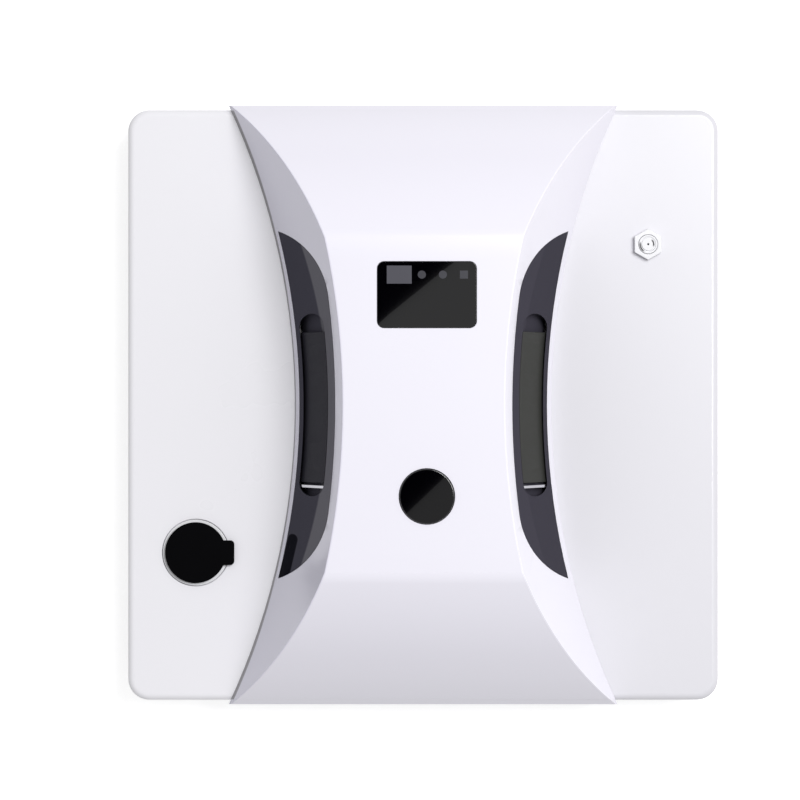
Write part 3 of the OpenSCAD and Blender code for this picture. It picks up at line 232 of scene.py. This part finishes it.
def moulded(name, colour, second, roughness, spread=0.05, grain=900.0, bump=0.05,
            depth=0.02 * MM, **values):
    """A moulded plastic or rubber: two close tones, handled patches and a fine skin."""
    material, shader = principled(name, **values)
    tree = material.node_tree
    add, link = tree.nodes.new, tree.links.new
    skin = add("ShaderNodeGroup")
    skin.node_tree = MOULDED
    skin.inputs["Grain Scale"].default_value = grain
    skin.inputs["Roughness"].default_value = roughness
    skin.inputs["Spread"].default_value = spread
    tone = add("ShaderNodeMix")
    tone.data_type = "RGBA"
    tone.inputs["A"].default_value = (*colour, 1)
    tone.inputs["B"].default_value = (*second, 1)
    link(skin.outputs["Mask"], tone.inputs["Factor"])
    link(tone.outputs["Result"], shader.inputs["Base Color"])
    link(skin.outputs["Roughness"], shader.inputs["Roughness"])
    relief = add("ShaderNodeBump")
    relief.inputs["Strength"].default_value = bump
    relief.inputs["Distance"].default_value = depth
    link(skin.outputs["Height"], relief.inputs["Height"])
    link(relief.outputs["Normal"], shader.inputs["Normal"])
    return material


def tinted(material, mask, colour):
    """Lays a second colour over a material where a mask is one."""
    tree = material.node_tree
    shader = tree.nodes["Principled BSDF"]
    mix = tree.nodes.new("ShaderNodeMix")
    mix.data_type = "RGBA"
    mix.inputs["B"].default_value = (*colour, 1)
    tree.links.new(mask, mix.inputs["Factor"])
    tree.links.new(shader.inputs["Base Color"].links[0].from_socket, mix.inputs["A"])
    tree.links.new(mix.outputs["Result"], shader.inputs["Base Color"])


def object_xyz(tree):
    place = tree.nodes.new("ShaderNodeTexCoord")
    split = tree.nodes.new("ShaderNodeSeparateXYZ")
    tree.links.new(place.outputs["Object"], split.inputs[0])
    return split.outputs


def ramped(tree, value, start, end):
    ramp = tree.nodes.new("ShaderNodeMapRange")
    ramp.inputs["From Min"].default_value = start
    ramp.inputs["From Max"].default_value = end
    tree.links.new(value, ramp.inputs["Value"])
    return ramp.outputs["Result"]


def plan_length(tree, dx, dy):
    squares = maths(tree, "ADD", maths(tree, "MULTIPLY", dx, dx), maths(tree, "MULTIPLY", dy, dy))
    return maths(tree, "SQRT", squares)


def facet_group():
    """Height that falls off towards a grip's upper edge, which gives it a second facet, and the mask where
    that facet gets its painted light.
    """
    tree, start, end = group(
        "upper_facet",
        [("Axis X", "NodeSocketFloat", 234.9 * MM), ("Ridge Radius", "NodeSocketFloat", 196.6 * MM),
         ("Slope", "NodeSocketFloat", 0.3)],
        [("Height", "NodeSocketFloat"), ("Mask", "NodeSocketFloat")],
    )
    add, link = tree.nodes.new, tree.links.new
    place = object_xyz(tree)
    side_x = maths(tree, "SUBTRACT", maths(tree, "ABSOLUTE", place["X"]), start.outputs["Axis X"])
    reach = plan_length(tree, side_x, place["Y"])
    past = maths(tree, "SUBTRACT", reach, start.outputs["Ridge Radius"])
    soft = maths(tree, "SMOOTH_MAX", past, 0.0, 0.4 * MM)
    falling = maths(tree, "MULTIPLY", start.outputs["Slope"], -1.0)
    link(maths(tree, "MULTIPLY", soft, falling), end.inputs["Height"])
    link(ramped(tree, past, -0.3 * MM, 0.3 * MM), end.inputs["Mask"])
    return tree


FACET = facet_group()


def faceted(material, height=1.0, facet_painted_light=(0.07, 0.07, 0.073)):
    """The second facet of a grip, laid over its moulded skin: a bump, and painted light that colours the
    facet lighter where it faces the light.
    """
    tree = material.node_tree
    add, link = tree.nodes.new, tree.links.new
    shader = tree.nodes["Principled BSDF"]
    facet = add("ShaderNodeGroup")
    facet.node_tree = FACET
    skin_bump = next(n for n in tree.nodes if n.bl_idname == "ShaderNodeBump")
    bump = add("ShaderNodeBump")
    bump.inputs["Distance"].default_value = height
    link(facet.outputs["Height"], bump.inputs["Height"])
    link(skin_bump.outputs["Normal"], bump.inputs["Normal"])
    link(bump.outputs["Normal"], shader.inputs["Normal"])
    tinted(material, facet.outputs["Mask"], facet_painted_light)


def painted_tip_shade(material, a, b, radius, dark):
    """Painted shade: a darker oblong between two places in plan, near a grip's tip, where its bevelled
    lower edge lies in shade.
    """
    tree = material.node_tree
    place = object_xyz(tree)
    along = (b - a).normalized()
    dx = maths(tree, "SUBTRACT", place["X"], a.x)
    dy = maths(tree, "SUBTRACT", place["Y"], a.y)
    run = maths(tree, "ADD", maths(tree, "MULTIPLY", dx, along.x), maths(tree, "MULTIPLY", dy, along.y))
    held = maths(tree, "MINIMUM", maths(tree, "MAXIMUM", run, 0.0), (b - a).length)
    off_x = maths(tree, "SUBTRACT", dx, maths(tree, "MULTIPLY", held, along.x))
    off_y = maths(tree, "SUBTRACT", dy, maths(tree, "MULTIPLY", held, along.y))
    away = plan_length(tree, off_x, off_y)
    tinted(material, ramped(tree, away, radius + 0.15 * MM, radius - 0.15 * MM), dark)


def wall_reach(tree, place):
    """Distance in plan from the axis of the bridge's side wall."""
    side_x = maths(tree, "SUBTRACT", maths(tree, "ABSOLUTE", place["X"]), WALL_AXIS_X)
    return plan_length(tree, side_x, place["Y"])


def painted_seam_shadow(material, colour):
    """Painted shadow: a dark line along the foot of the bridge's left wall, where the joint between cover
    and deck lies in shade.
    """
    tree = material.node_tree
    place = object_xyz(tree)
    wider = ramped(tree, maths(tree, "ABSOLUTE", place["Y"]), 30 * MM, 100 * MM)
    reach = maths(tree, "SUBTRACT", wall_reach(tree, place), maths(tree, "MULTIPLY", wider, 0.7 * MM))
    near = ramped(tree, reach, WALL_R + 0.65 * MM, WALL_R + 0.35 * MM)
    left = maths(tree, "LESS_THAN", place["X"], 0.0)
    inside = ramped(tree, maths(tree, "ABSOLUTE", place["Y"]), 119.8 * MM, 119.3 * MM)
    tinted(material, maths(tree, "MULTIPLY", maths(tree, "MULTIPLY", near, left), inside), colour)


def painted_wall_light_and_shade(material, side, colour):
    """Painted light and shade on one of the bridge's walls, as a changed tone: the left one with side -1,
    the right one with side 1.
    """
    tree = material.node_tree
    place = object_xyz(tree)
    foot = maths(tree, "SUBTRACT", wall_reach(tree, place), maths(tree, "MULTIPLY", place["Z"], WALL_SLOPE))
    off = maths(tree, "ABSOLUTE", maths(tree, "SUBTRACT", foot, WALL_R - DECK_Z * WALL_SLOPE))
    near = ramped(tree, off, 0.6 * MM, 0.3 * MM)
    here = maths(tree, "GREATER_THAN", maths(tree, "MULTIPLY", place["X"], side), 0.0)
    tinted(material, maths(tree, "MULTIPLY", near, here), colour)


def painted_crescent_shadow(material, centre, radius, towards, colour):
    """Painted shadow: a dark sickle where the nozzle's ball meets its seat, strongest towards the side that
    lies in shade.
    """
    tree = material.node_tree
    place = object_xyz(tree)
    dx = maths(tree, "SUBTRACT", place["X"], centre[0])
    dy = maths(tree, "SUBTRACT", place["Y"], centre[1])
    reach = plan_length(tree, dx, dy)
    along = maths(tree, "ADD", maths(tree, "MULTIPLY", dx, towards[0]),
                  maths(tree, "MULTIPLY", dy, towards[1]))
    side = ramped(tree, maths(tree, "DIVIDE", along, maths(tree, "MAXIMUM", reach, 0.1 * MM)), 0.72, 0.92)
    off = maths(tree, "ABSOLUTE", maths(tree, "SUBTRACT", reach, radius))
    band = ramped(tree, off, 0.42 * MM, 0.2 * MM)
    tinted(material, maths(tree, "MULTIPLY", band, side), colour)


def looped(material, dark):
    """Loops of microfibre pile: small knots, with painted shade darkening the hollows between them."""
    tree = material.node_tree
    add, link = tree.nodes.new, tree.links.new
    place = add("ShaderNodeTexCoord")
    knots = add("ShaderNodeTexVoronoi")
    knots.inputs["Scale"].default_value = 430
    knots.inputs["Randomness"].default_value = 0.8
    link(place.outputs["Object"], knots.inputs["Vector"])
    hollow = ramped(tree, knots.outputs["Distance"], 0.3, 0.75)
    tinted(material, hollow, dark)
    shader = tree.nodes["Principled BSDF"]
    relief = add("ShaderNodeBump")
    relief.inputs["Distance"].default_value = 1.1 * MM
    link(maths(tree, "SUBTRACT", 1.0, hollow), relief.inputs["Height"])
    link(shader.inputs["Normal"].links[0].from_socket, relief.inputs["Normal"])
    link(relief.outputs["Normal"], shader.inputs["Normal"])


def stitched(material, half_x, half_y, thread):
    """A sewn line of short stitches round a rectangle in plan."""
    tree = material.node_tree
    place = object_xyz(tree)
    over_x = maths(tree, "SUBTRACT", maths(tree, "ABSOLUTE", place["X"]), half_x)
    over_y = maths(tree, "SUBTRACT", maths(tree, "ABSOLUTE", place["Y"]), half_y)
    off = maths(tree, "ABSOLUTE", maths(tree, "MAXIMUM", over_x, over_y))
    line = ramped(tree, off, 0.55 * MM, 0.35 * MM)
    along = maths(tree, "ADD", place["X"], place["Y"])
    dash = ramped(tree, maths(tree, "PINGPONG", along, 2.0 * MM), 0.3 * MM, 0.5 * MM)
    tinted(material, maths(tree, "MULTIPLY", line, dash), thread)


def painted_right_wing_shade(material, colour):
    """Painted shade: the right wing's colour is a shade greyer than the left one's, standing in for how
    light falls on it.
    """
    tree = material.node_tree
    place = object_xyz(tree)
    hidden_middle = 40 * MM
    tinted(material, ramped(tree, place["X"], 0.0, hidden_middle), colour)


shell_white = moulded("shell_white", (0.80, 0.793, 0.83), (0.812, 0.805, 0.842), 0.28,
                      Coat_Weight=0.25, Coat_Roughness=0.12)
cover_white_painted_light_and_shade = moulded("cover_white_painted_light_and_shade", (0.80, 0.785, 0.862), (0.812, 0.797, 0.874), 0.26,
                      Coat_Weight=0.25, Coat_Roughness=0.12)
deck_white_painted_shade = moulded("deck_white_painted_shade", (0.80, 0.793, 0.83), (0.812, 0.805, 0.842), 0.28,
                     Coat_Weight=0.25, Coat_Roughness=0.12)
# Painted shade on the left wall, painted light on the right wall, as darker and lighter tones of the
# cover's white.
painted_wall_light_and_shade(cover_white_painted_light_and_shade, -1, (0.705, 0.692, 0.79))
painted_wall_light_and_shade(cover_white_painted_light_and_shade, 1, (0.885, 0.868, 0.945))
# Painted shadow along the foot of the left wall.
painted_seam_shadow(cover_white_painted_light_and_shade, (0.22, 0.215, 0.23))
# Painted shade: the deck's right wing coloured a shade greyer.
painted_right_wing_shade(deck_white_painted_shade, (0.69, 0.683, 0.725))
GRIP_FINISH = {"roughness": 0.4, "grain": 1500.0, "bump": 0.2, "Specular_IOR_Level": 0.06, "IOR": 1.08}
# The grips are lit and shaded copies of one black: their tones differ by side as painted light and shade.
left_grip_black_shaded_copy = moulded("left_grip_black_shaded_copy", (0.059, 0.057, 0.076), (0.065, 0.063, 0.082), **GRIP_FINISH)
right_grip_black_lit_copy = moulded("right_grip_black_lit_copy", (0.048, 0.0455, 0.0605), (0.053, 0.05, 0.065), **GRIP_FINISH)
# Painted light: each grip's upper facet is coloured lighter.
faceted(left_grip_black_shaded_copy, facet_painted_light=(0.15, 0.147, 0.168))
faceted(right_grip_black_lit_copy, facet_painted_light=(0.056, 0.053, 0.069))
# Painted shade: a dark oblong at the left grip's tip.
painted_tip_shade(left_grip_black_shaded_copy, Vector((-52.7, -54.2)) * MM, Vector((-56.2, -69.2)) * MM, 2.1 * MM,
          (0.004, 0.004, 0.008))
PAD_FINISH = {"roughness": 0.35, "grain": 1200.0, "bump": 0.25, "Specular_IOR_Level": 0.02}
pad_rubber = moulded("grip_pad_rubber", (0.040, 0.041, 0.037), (0.046, 0.047, 0.043), **PAD_FINISH)
# Painted shade: the left pad is a darker copy of the pad rubber, for the shaded side.
left_pad_rubber_painted_shade = moulded("left_pad_rubber_painted_shade", (0.020, 0.0195, 0.027), (0.024, 0.0235, 0.031), **PAD_FINISH)
panel_black = moulded("panel_black", (0.0005, 0.0004, 0.001), (0.0007, 0.0006, 0.0013), 0.03, spread=0.01,
                      bump=0.0, Coat_Weight=1.0, Coat_Roughness=0.005)
window_grey = moulded("window_grey", (0.075, 0.074, 0.09), (0.083, 0.082, 0.098), 0.2, Coat_Weight=0.3)
lens_grey = moulded("lens_grey", (0.045, 0.045, 0.055), (0.055, 0.055, 0.065), 0.2, Coat_Weight=0.6)
cap_rubber = moulded("cap_rubber", (0.0012, 0.0012, 0.0016), (0.002, 0.002, 0.0025), 0.45, grain=1800.0,
                     bump=0.3, Specular_IOR_Level=0.02)
nozzle_white = moulded("nozzle_white", (0.78, 0.78, 0.8), (0.74, 0.74, 0.77), 0.25)
tip_white_painted_shadow = moulded("tip_white_painted_shadow", (0.78, 0.78, 0.8), (0.74, 0.74, 0.77), 0.25)
# Painted shadow: two dark crescents on the nozzle's tip, on the sides in shade.
for radius, towards in ((3.3 * MM, (-0.92, -0.39)), (2.2 * MM, (0.97, 0.24))):
    painted_crescent_shadow(tip_white_painted_shadow, NOZZLE_CENTRE, radius, towards, (0.01, 0.01, 0.012))
tank_milky = moulded("tank_milky", (0.62, 0.68, 0.72), (0.58, 0.64, 0.7), 0.4)
hose_clear = moulded("hose_clear", (0.6, 0.62, 0.64), (0.55, 0.57, 0.6), 0.3)
machine_black = moulded("machine_black", (0.02, 0.02, 0.021), (0.028, 0.028, 0.03), 0.45,
                        grain=1500.0, bump=0.3)
machine_grey = moulded("machine_grey", (0.32, 0.33, 0.35), (0.28, 0.29, 0.31), 0.45)
board_green = moulded("board_green", (0.01, 0.09, 0.04), (0.015, 0.12, 0.05), 0.3)
cell_blue = moulded("cell_blue", (0.03, 0.08, 0.24), (0.04, 0.1, 0.28), 0.25)
belt_rubber = moulded("belt_rubber", (0.012, 0.012, 0.013), (0.02, 0.02, 0.021), 0.6,
                      grain=1600.0, bump=0.4)
tape_white = moulded("tape_white", (0.6, 0.6, 0.6), (0.52, 0.52, 0.52), 0.8, grain=2200.0, bump=0.8)
chrome = moulded("bright_strip", (0.72, 0.72, 0.74), (0.66, 0.66, 0.68), 0.16, Metallic=1.0)
steel = moulded("steel", (0.5, 0.5, 0.52), (0.42, 0.42, 0.44), 0.3, Metallic=1.0)
brass = moulded("brass", (0.6, 0.42, 0.17), (0.5, 0.34, 0.13), 0.3, Metallic=1.0)
pad_cloth = moulded("pad_cloth", (0.36, 0.44, 0.5), (0.6, 0.67, 0.71), 0.9, grain=800.0, bump=1.0,
                    depth=1.0 * MM, Sheen_Weight=0.5)

# Painted shade in the hollows of the microfibre pile.
looped(pad_cloth, (0.16, 0.21, 0.25))
for half_x, half_y in (
    (PAD_OUTER[0] - SEAM_INSET, PAD_OUTER[1] - SEAM_INSET),
    (PAD_INNER[0] + SEAM_INSET, PAD_INNER[1] + SEAM_INSET),
):
    stitched(pad_cloth, half_x, half_y, (0.06, 0.08, 0.1))

FINISHES = {
    "shell_white": shell_white, "grip_black": left_grip_black_shaded_copy, "grip_rubber": pad_rubber,
    "bright_trim": chrome,
    "panel_black": panel_black, "window_grey": window_grey, "cap_rubber": cap_rubber,
    "nozzle_white": nozzle_white, "tank_milky": tank_milky, "hose_clear": hose_clear,
    "machine_black": machine_black, "machine_grey": machine_grey, "motor_steel": steel, "axle_steel": steel,
    "brass": brass, "board_green": board_green, "cell_blue": cell_blue, "belt_rubber": belt_rubber,
    "pad_cloth": pad_cloth, "tape_white": tape_white, "screw_steel": steel,
}
for row in frame["record"]["subparts"]:
    data = nodes[row["node"]].data
    data.materials.clear()
    data.materials.append(FINISHES[row["material_slot"]])


nodes["indicator_lenses"].data.materials[0] = lens_grey
nodes["upper_deck"].data.materials[0] = deck_white_painted_shade


# Bridge cover: its outer edges get the soft radius of the moulding, and its foot a fine one

CLOSE = 0.04 * MM
OUTLINE_FLOOR_Z = 36.2 * MM
BRIDGE_EDGE_R = 1.6 * MM
FOOT_EDGE_R = 0.3 * MM
SKIRT_FACE_Y = 121.4 * MM
SKIRT_TOP_Z = 36 * MM


def on_wall(p):
    reach = math.hypot(abs(p.x) - WALL_AXIS_X, p.y)
    return abs(reach - WALL_R - (p.z - DECK_Z) * WALL_SLOPE) < CLOSE


def on_end_arc(p):
    return abs(math.hypot(abs(p.y) - ARC_CENTRE[0], p.z - ARC_CENTRE[1]) - ARC_R) < CLOSE


def on_top(p):
    return abs(p.z - TOP_Z) < CLOSE


def outline_edge(edge):
    """The bridge's long outer edges, down to just above the end skirts."""
    ends = [v.co for v in edge.verts]
    if min(p.z for p in ends) < OUTLINE_FLOOR_Z:
        return False
    surfaces = [all(test(p) for p in ends) for test in (on_wall, on_end_arc, on_top)]
    return sum(surfaces) == 2


def foot_edge(edge):
    return all(on_wall(v.co) and abs(v.co.z - DECK_Z) < CLOSE for v in edge.verts)


def skirt_crease(p):
    """The line where an end's slope meets its upright skirt stays crisp."""
    return abs(p.y) > SKIRT_FACE_Y and abs(p.z - SKIRT_TOP_Z) < 0.6 * MM


def soft_bridge():
    bm = merged_copy("bridge_cover")
    round_edges(bm, BRIDGE_EDGE_R, 4, 12, outline_edge)
    round_edges(bm, FOOT_EDGE_R, 1, 12, foot_edge)
    shade(bm, 30)
    for edge in bm.edges:
        if all(skirt_crease(v.co) for v in edge.verts):
            edge.smooth = False
    piece = stand_in(new_object("bridge_shell", bm), "bridge_cover", cover_white_painted_light_and_shade)
    even_normals(piece)
    return piece


soft_bridge()


# Pieces with softened edges

INLAY_HALF = (18.5 * MM, 12.5 * MM)


def window_outline(edge):
    """The window's own edge, not those of the inlays set into it."""
    places = [(abs(v.co.x - DISPLAY_CENTRE[0]), abs(v.co.y - DISPLAY_CENTRE[1])) for v in edge.verts]
    return all(x > INLAY_HALF[0] or y > INLAY_HALF[1] for x, y in places)


softened("display_window", panel_black, 0.15 * MM, chosen=window_outline)
for name, finish, radius in [
    ("left_grip", left_grip_black_shaded_copy, 0.4 * MM), ("right_grip", right_grip_black_lit_copy, 0.4 * MM),
    ("left_grip_pad", left_pad_rubber_painted_shade, 0.5 * MM), ("right_grip_pad", pad_rubber, 0.5 * MM),
    ("power_button", panel_black, 0.4 * MM), ("fill_cap", cap_rubber, 0.3 * MM),
    ("fill_port_ring", nozzle_white, 0.2 * MM), ("nozzle_body", nozzle_white, 0.3 * MM),
    ("nozzle_tip", tip_white_painted_shadow, 0.12 * MM),
]:
    softened(name, finish, radius)


# Cleaning pad: a quilted ring of microfibre that swells between its sewn lines

SEAM_DIP = 0.6 * MM
VOXEL = 2.2 * MM
START_SHARE = 0.72
PRESSURE = 4
LAST_MOMENT = 16
MOST_SWELL = 1.0 * MM


def seam_line(p):
    """Sewn lines run inside both edges of the ring."""
    outer = max(abs(p.x) - PAD_OUTER[0], abs(p.y) - PAD_OUTER[1])
    inner = max(abs(p.x) - PAD_INNER[0], abs(p.y) - PAD_INNER[1])
    return min(abs(outer + SEAM_INSET), abs(inner - SEAM_INSET)) < 1.3 * MM


def voxel_copy(piece, voxel):
    remesh = piece.modifiers.new("voxels", "REMESH")
    remesh.mode = "VOXEL"
    remesh.voxel_size = voxel
    bake(piece)


def bake(piece):
    """The modifiers' result becomes the mesh."""
    graph = bpy.context.evaluated_depsgraph_get()
    mesh = bpy.data.meshes.new_from_object(piece.evaluated_get(graph))
    piece.modifiers.clear()
    piece.data = mesh


def microfibre_pad():
    bm = merged_copy("cleaning_pad")
    pad = new_object("microfibre_pad", bm)
    voxel_copy(pad, VOXEL)
    mesh = pad.data
    for v in mesh.vertices:
        v.co.z = PAD_BACK_Z - (PAD_BACK_Z - v.co.z) * START_SHARE
    start = [v.co.copy() for v in mesh.vertices]
    held = pad.vertex_groups.new(name="held")
    for v in mesh.vertices:
        if v.co.z > PAD_BACK_Z - 0.5 * MM or seam_line(v.co):
            held.add([v.index], 1.0, "REPLACE")
    cloth = pad.modifiers.new("swell", "CLOTH")
    cloth.settings.vertex_group_mass = "held"
    cloth.settings.effector_weights.gravity = 0
    cloth.settings.use_pressure = True
    cloth.settings.uniform_pressure_force = PRESSURE
    cloth.settings.quality = 5
    cloth.point_cache.frame_start = 1
    cloth.point_cache.frame_end = LAST_MOMENT
    for moment in range(1, LAST_MOMENT + 1):
        scene.frame_set(moment)
    bake(pad)
    scene.frame_set(1)
    mesh = pad.data
    for v, before in zip(mesh.vertices, start):
        step = v.co - before
        if step.length > MOST_SWELL:
            step *= MOST_SWELL / step.length
        v.co = before + step
        v.co.z = min(max(v.co.z, PAD_FACE_Z), PAD_BACK_Z)
        if seam_line(v.co) and v.co.z < PAD_BACK_Z - 1.5 * MM:
            v.co.z += SEAM_DIP
    for face in mesh.polygons:
        face.use_smooth = True
    finish = pad.modifiers.new("smooth", "SUBSURF")
    finish.levels = finish.render_levels = 1
    mesh.materials.append(pad_cloth)
    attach(pad, nodes["cleaning_pad"]["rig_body"])
    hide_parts("cleaning_pad")


microfibre_pad()


# Floor and light

FLOOR_HALF = 3
FLOOR_GLOW = 0.62
KEY_PLACE = (0.64, 0.42, 1.74)
KEY_SIZE = (0.8, 0.8)
KEY_WATTS = 27
SKY = 0.47
SKY_SEEN_MORE = 0.6


def plane(name, half, z, material):
    bm = bmesh.new()
    bmesh.ops.create_grid(bm, x_segments=1, y_segments=1, size=half)
    bmesh.ops.translate(bm, verts=bm.verts, vec=(0, 0, z))
    piece = new_object(name, bm)
    piece.data.materials.append(material)
    return piece


def white_ground():
    """A pale floor, white to the camera, with the object's shadow kept; open when seen from below."""
    material = bpy.data.materials.new("white_ground")
    material.use_nodes = True
    tree = material.node_tree
    shader = tree.nodes["Principled BSDF"]
    shader.inputs["Base Color"].default_value = (0.8, 0.8, 0.8, 1)
    shader.inputs["Roughness"].default_value = 1.0
    shader.inputs["Specular IOR Level"].default_value = 0
    shader.inputs["Emission Color"].default_value = (1, 1, 1, 1)
    path = tree.nodes.new("ShaderNodeLightPath")
    glow = tree.nodes.new("ShaderNodeMath")
    glow.operation = "MULTIPLY"
    glow.inputs[1].default_value = FLOOR_GLOW
    tree.links.new(path.outputs["Is Camera Ray"], glow.inputs[0])
    tree.links.new(glow.outputs[0], shader.inputs["Emission Strength"])
    side = tree.nodes.new("ShaderNodeNewGeometry")
    clear = tree.nodes.new("ShaderNodeBsdfTransparent")
    choice = tree.nodes.new("ShaderNodeMixShader")
    tree.links.new(side.outputs["Backfacing"], choice.inputs["Fac"])
    tree.links.new(shader.outputs[0], choice.inputs[1])
    tree.links.new(clear.outputs[0], choice.inputs[2])
    tree.links.new(choice.outputs[0], tree.nodes["Material Output"].inputs["Surface"])
    return material


plane("floor", FLOOR_HALF, 0, white_ground())


def area_light(name, place, target, size, watts, colour=(1, 1, 1)):
    data = bpy.data.lights.new(name, "AREA")
    data.shape = "RECTANGLE"
    data.size, data.size_y = size
    data.energy = watts
    data.color = colour
    lamp = bpy.data.objects.new(name, data)
    scene.collection.objects.link(lamp)
    lamp.location = place
    lamp.rotation_euler = (Vector(target) - Vector(place)).to_track_quat("-Z", "Y").to_euler()
    return lamp


area_light("key", KEY_PLACE, (0, 0, 40 * MM), KEY_SIZE, KEY_WATTS)


# Cards above the camera: a dark one that keeps the glossy black parts black, and two dim ones
# whose edges cross the display and the button

CARD_Z = 2.5
CARD_HALF = 0.35
CARD_LIFT = (CARD_Z - TOP_Z) / (camera.location.z - TOP_Z)


def seen_in(x, y):
    """Where a mirror on the bridge's top at x, y millimetres shows the card plane."""
    return Vector((x * MM + (x * MM - VIEW_X) * CARD_LIFT, y * MM + (y * MM - VIEW_Y) * CARD_LIFT, CARD_Z))


def card(name, corners, lift, strength):
    bm = bmesh.new()
    verts = [bm.verts.new(Vector(c) + Vector((0, 0, lift))) for c in corners]
    face = bm.faces.new(verts)
    face.normal_update()
    if face.normal.z > 0:
        face.normal_flip()
    material = bpy.data.materials.new(name)
    material.use_nodes = True
    shader = material.node_tree.nodes["Principled BSDF"]
    shader.inputs["Base Color"].default_value = (0, 0, 0, 1)
    shader.inputs["Roughness"].default_value = 1
    shader.inputs["Specular IOR Level"].default_value = 0
    shader.inputs["Emission Color"].default_value = (1, 1, 1, 1)
    shader.inputs["Emission Strength"].default_value = strength
    piece = new_object(name, bm)
    piece.data.materials.append(material)


def edge_card(name, from_point, to_point, depth, strength):
    """A dim card whose long edge is seen between the two points, and which lies to their right."""
    a, b = seen_in(*from_point), seen_in(*to_point)
    along = (b - a).normalized()
    side = Vector((along.y, -along.x, 0)) * depth
    stretch = along * 0.02
    card(name, (a - stretch, b + stretch, b + stretch + side, a - stretch + side), -0.01, strength)


card("dark_card", [(-CARD_HALF, -CARD_HALF, CARD_Z), (CARD_HALF, -CARD_HALF, CARD_Z),
                   (CARD_HALF, CARD_HALF, CARD_Z), (-CARD_HALF, CARD_HALF, CARD_Z)], 0, 0.0)
edge_card("display_card", (-17.3, 32.8), (11.2, 55.8), 0.08, 0.42)
edge_card("button_card", (-6.6, -42.3), (8.0, -28.4), 0.05, 0.27)

world = bpy.data.worlds.new("world")
scene.world = world
world.use_nodes = True
world.node_tree.nodes["Background"].inputs["Color"].default_value = (1, 1, 1, 1)
sky = world.node_tree.nodes["Background"]
seen = world.node_tree.nodes.new("ShaderNodeLightPath")
power = maths(world.node_tree, "MULTIPLY_ADD", seen.outputs["Is Camera Ray"], SKY_SEEN_MORE, SKY)
world.node_tree.links.new(power, sky.inputs["Strength"])

scene.view_settings.view_transform = "Standard"
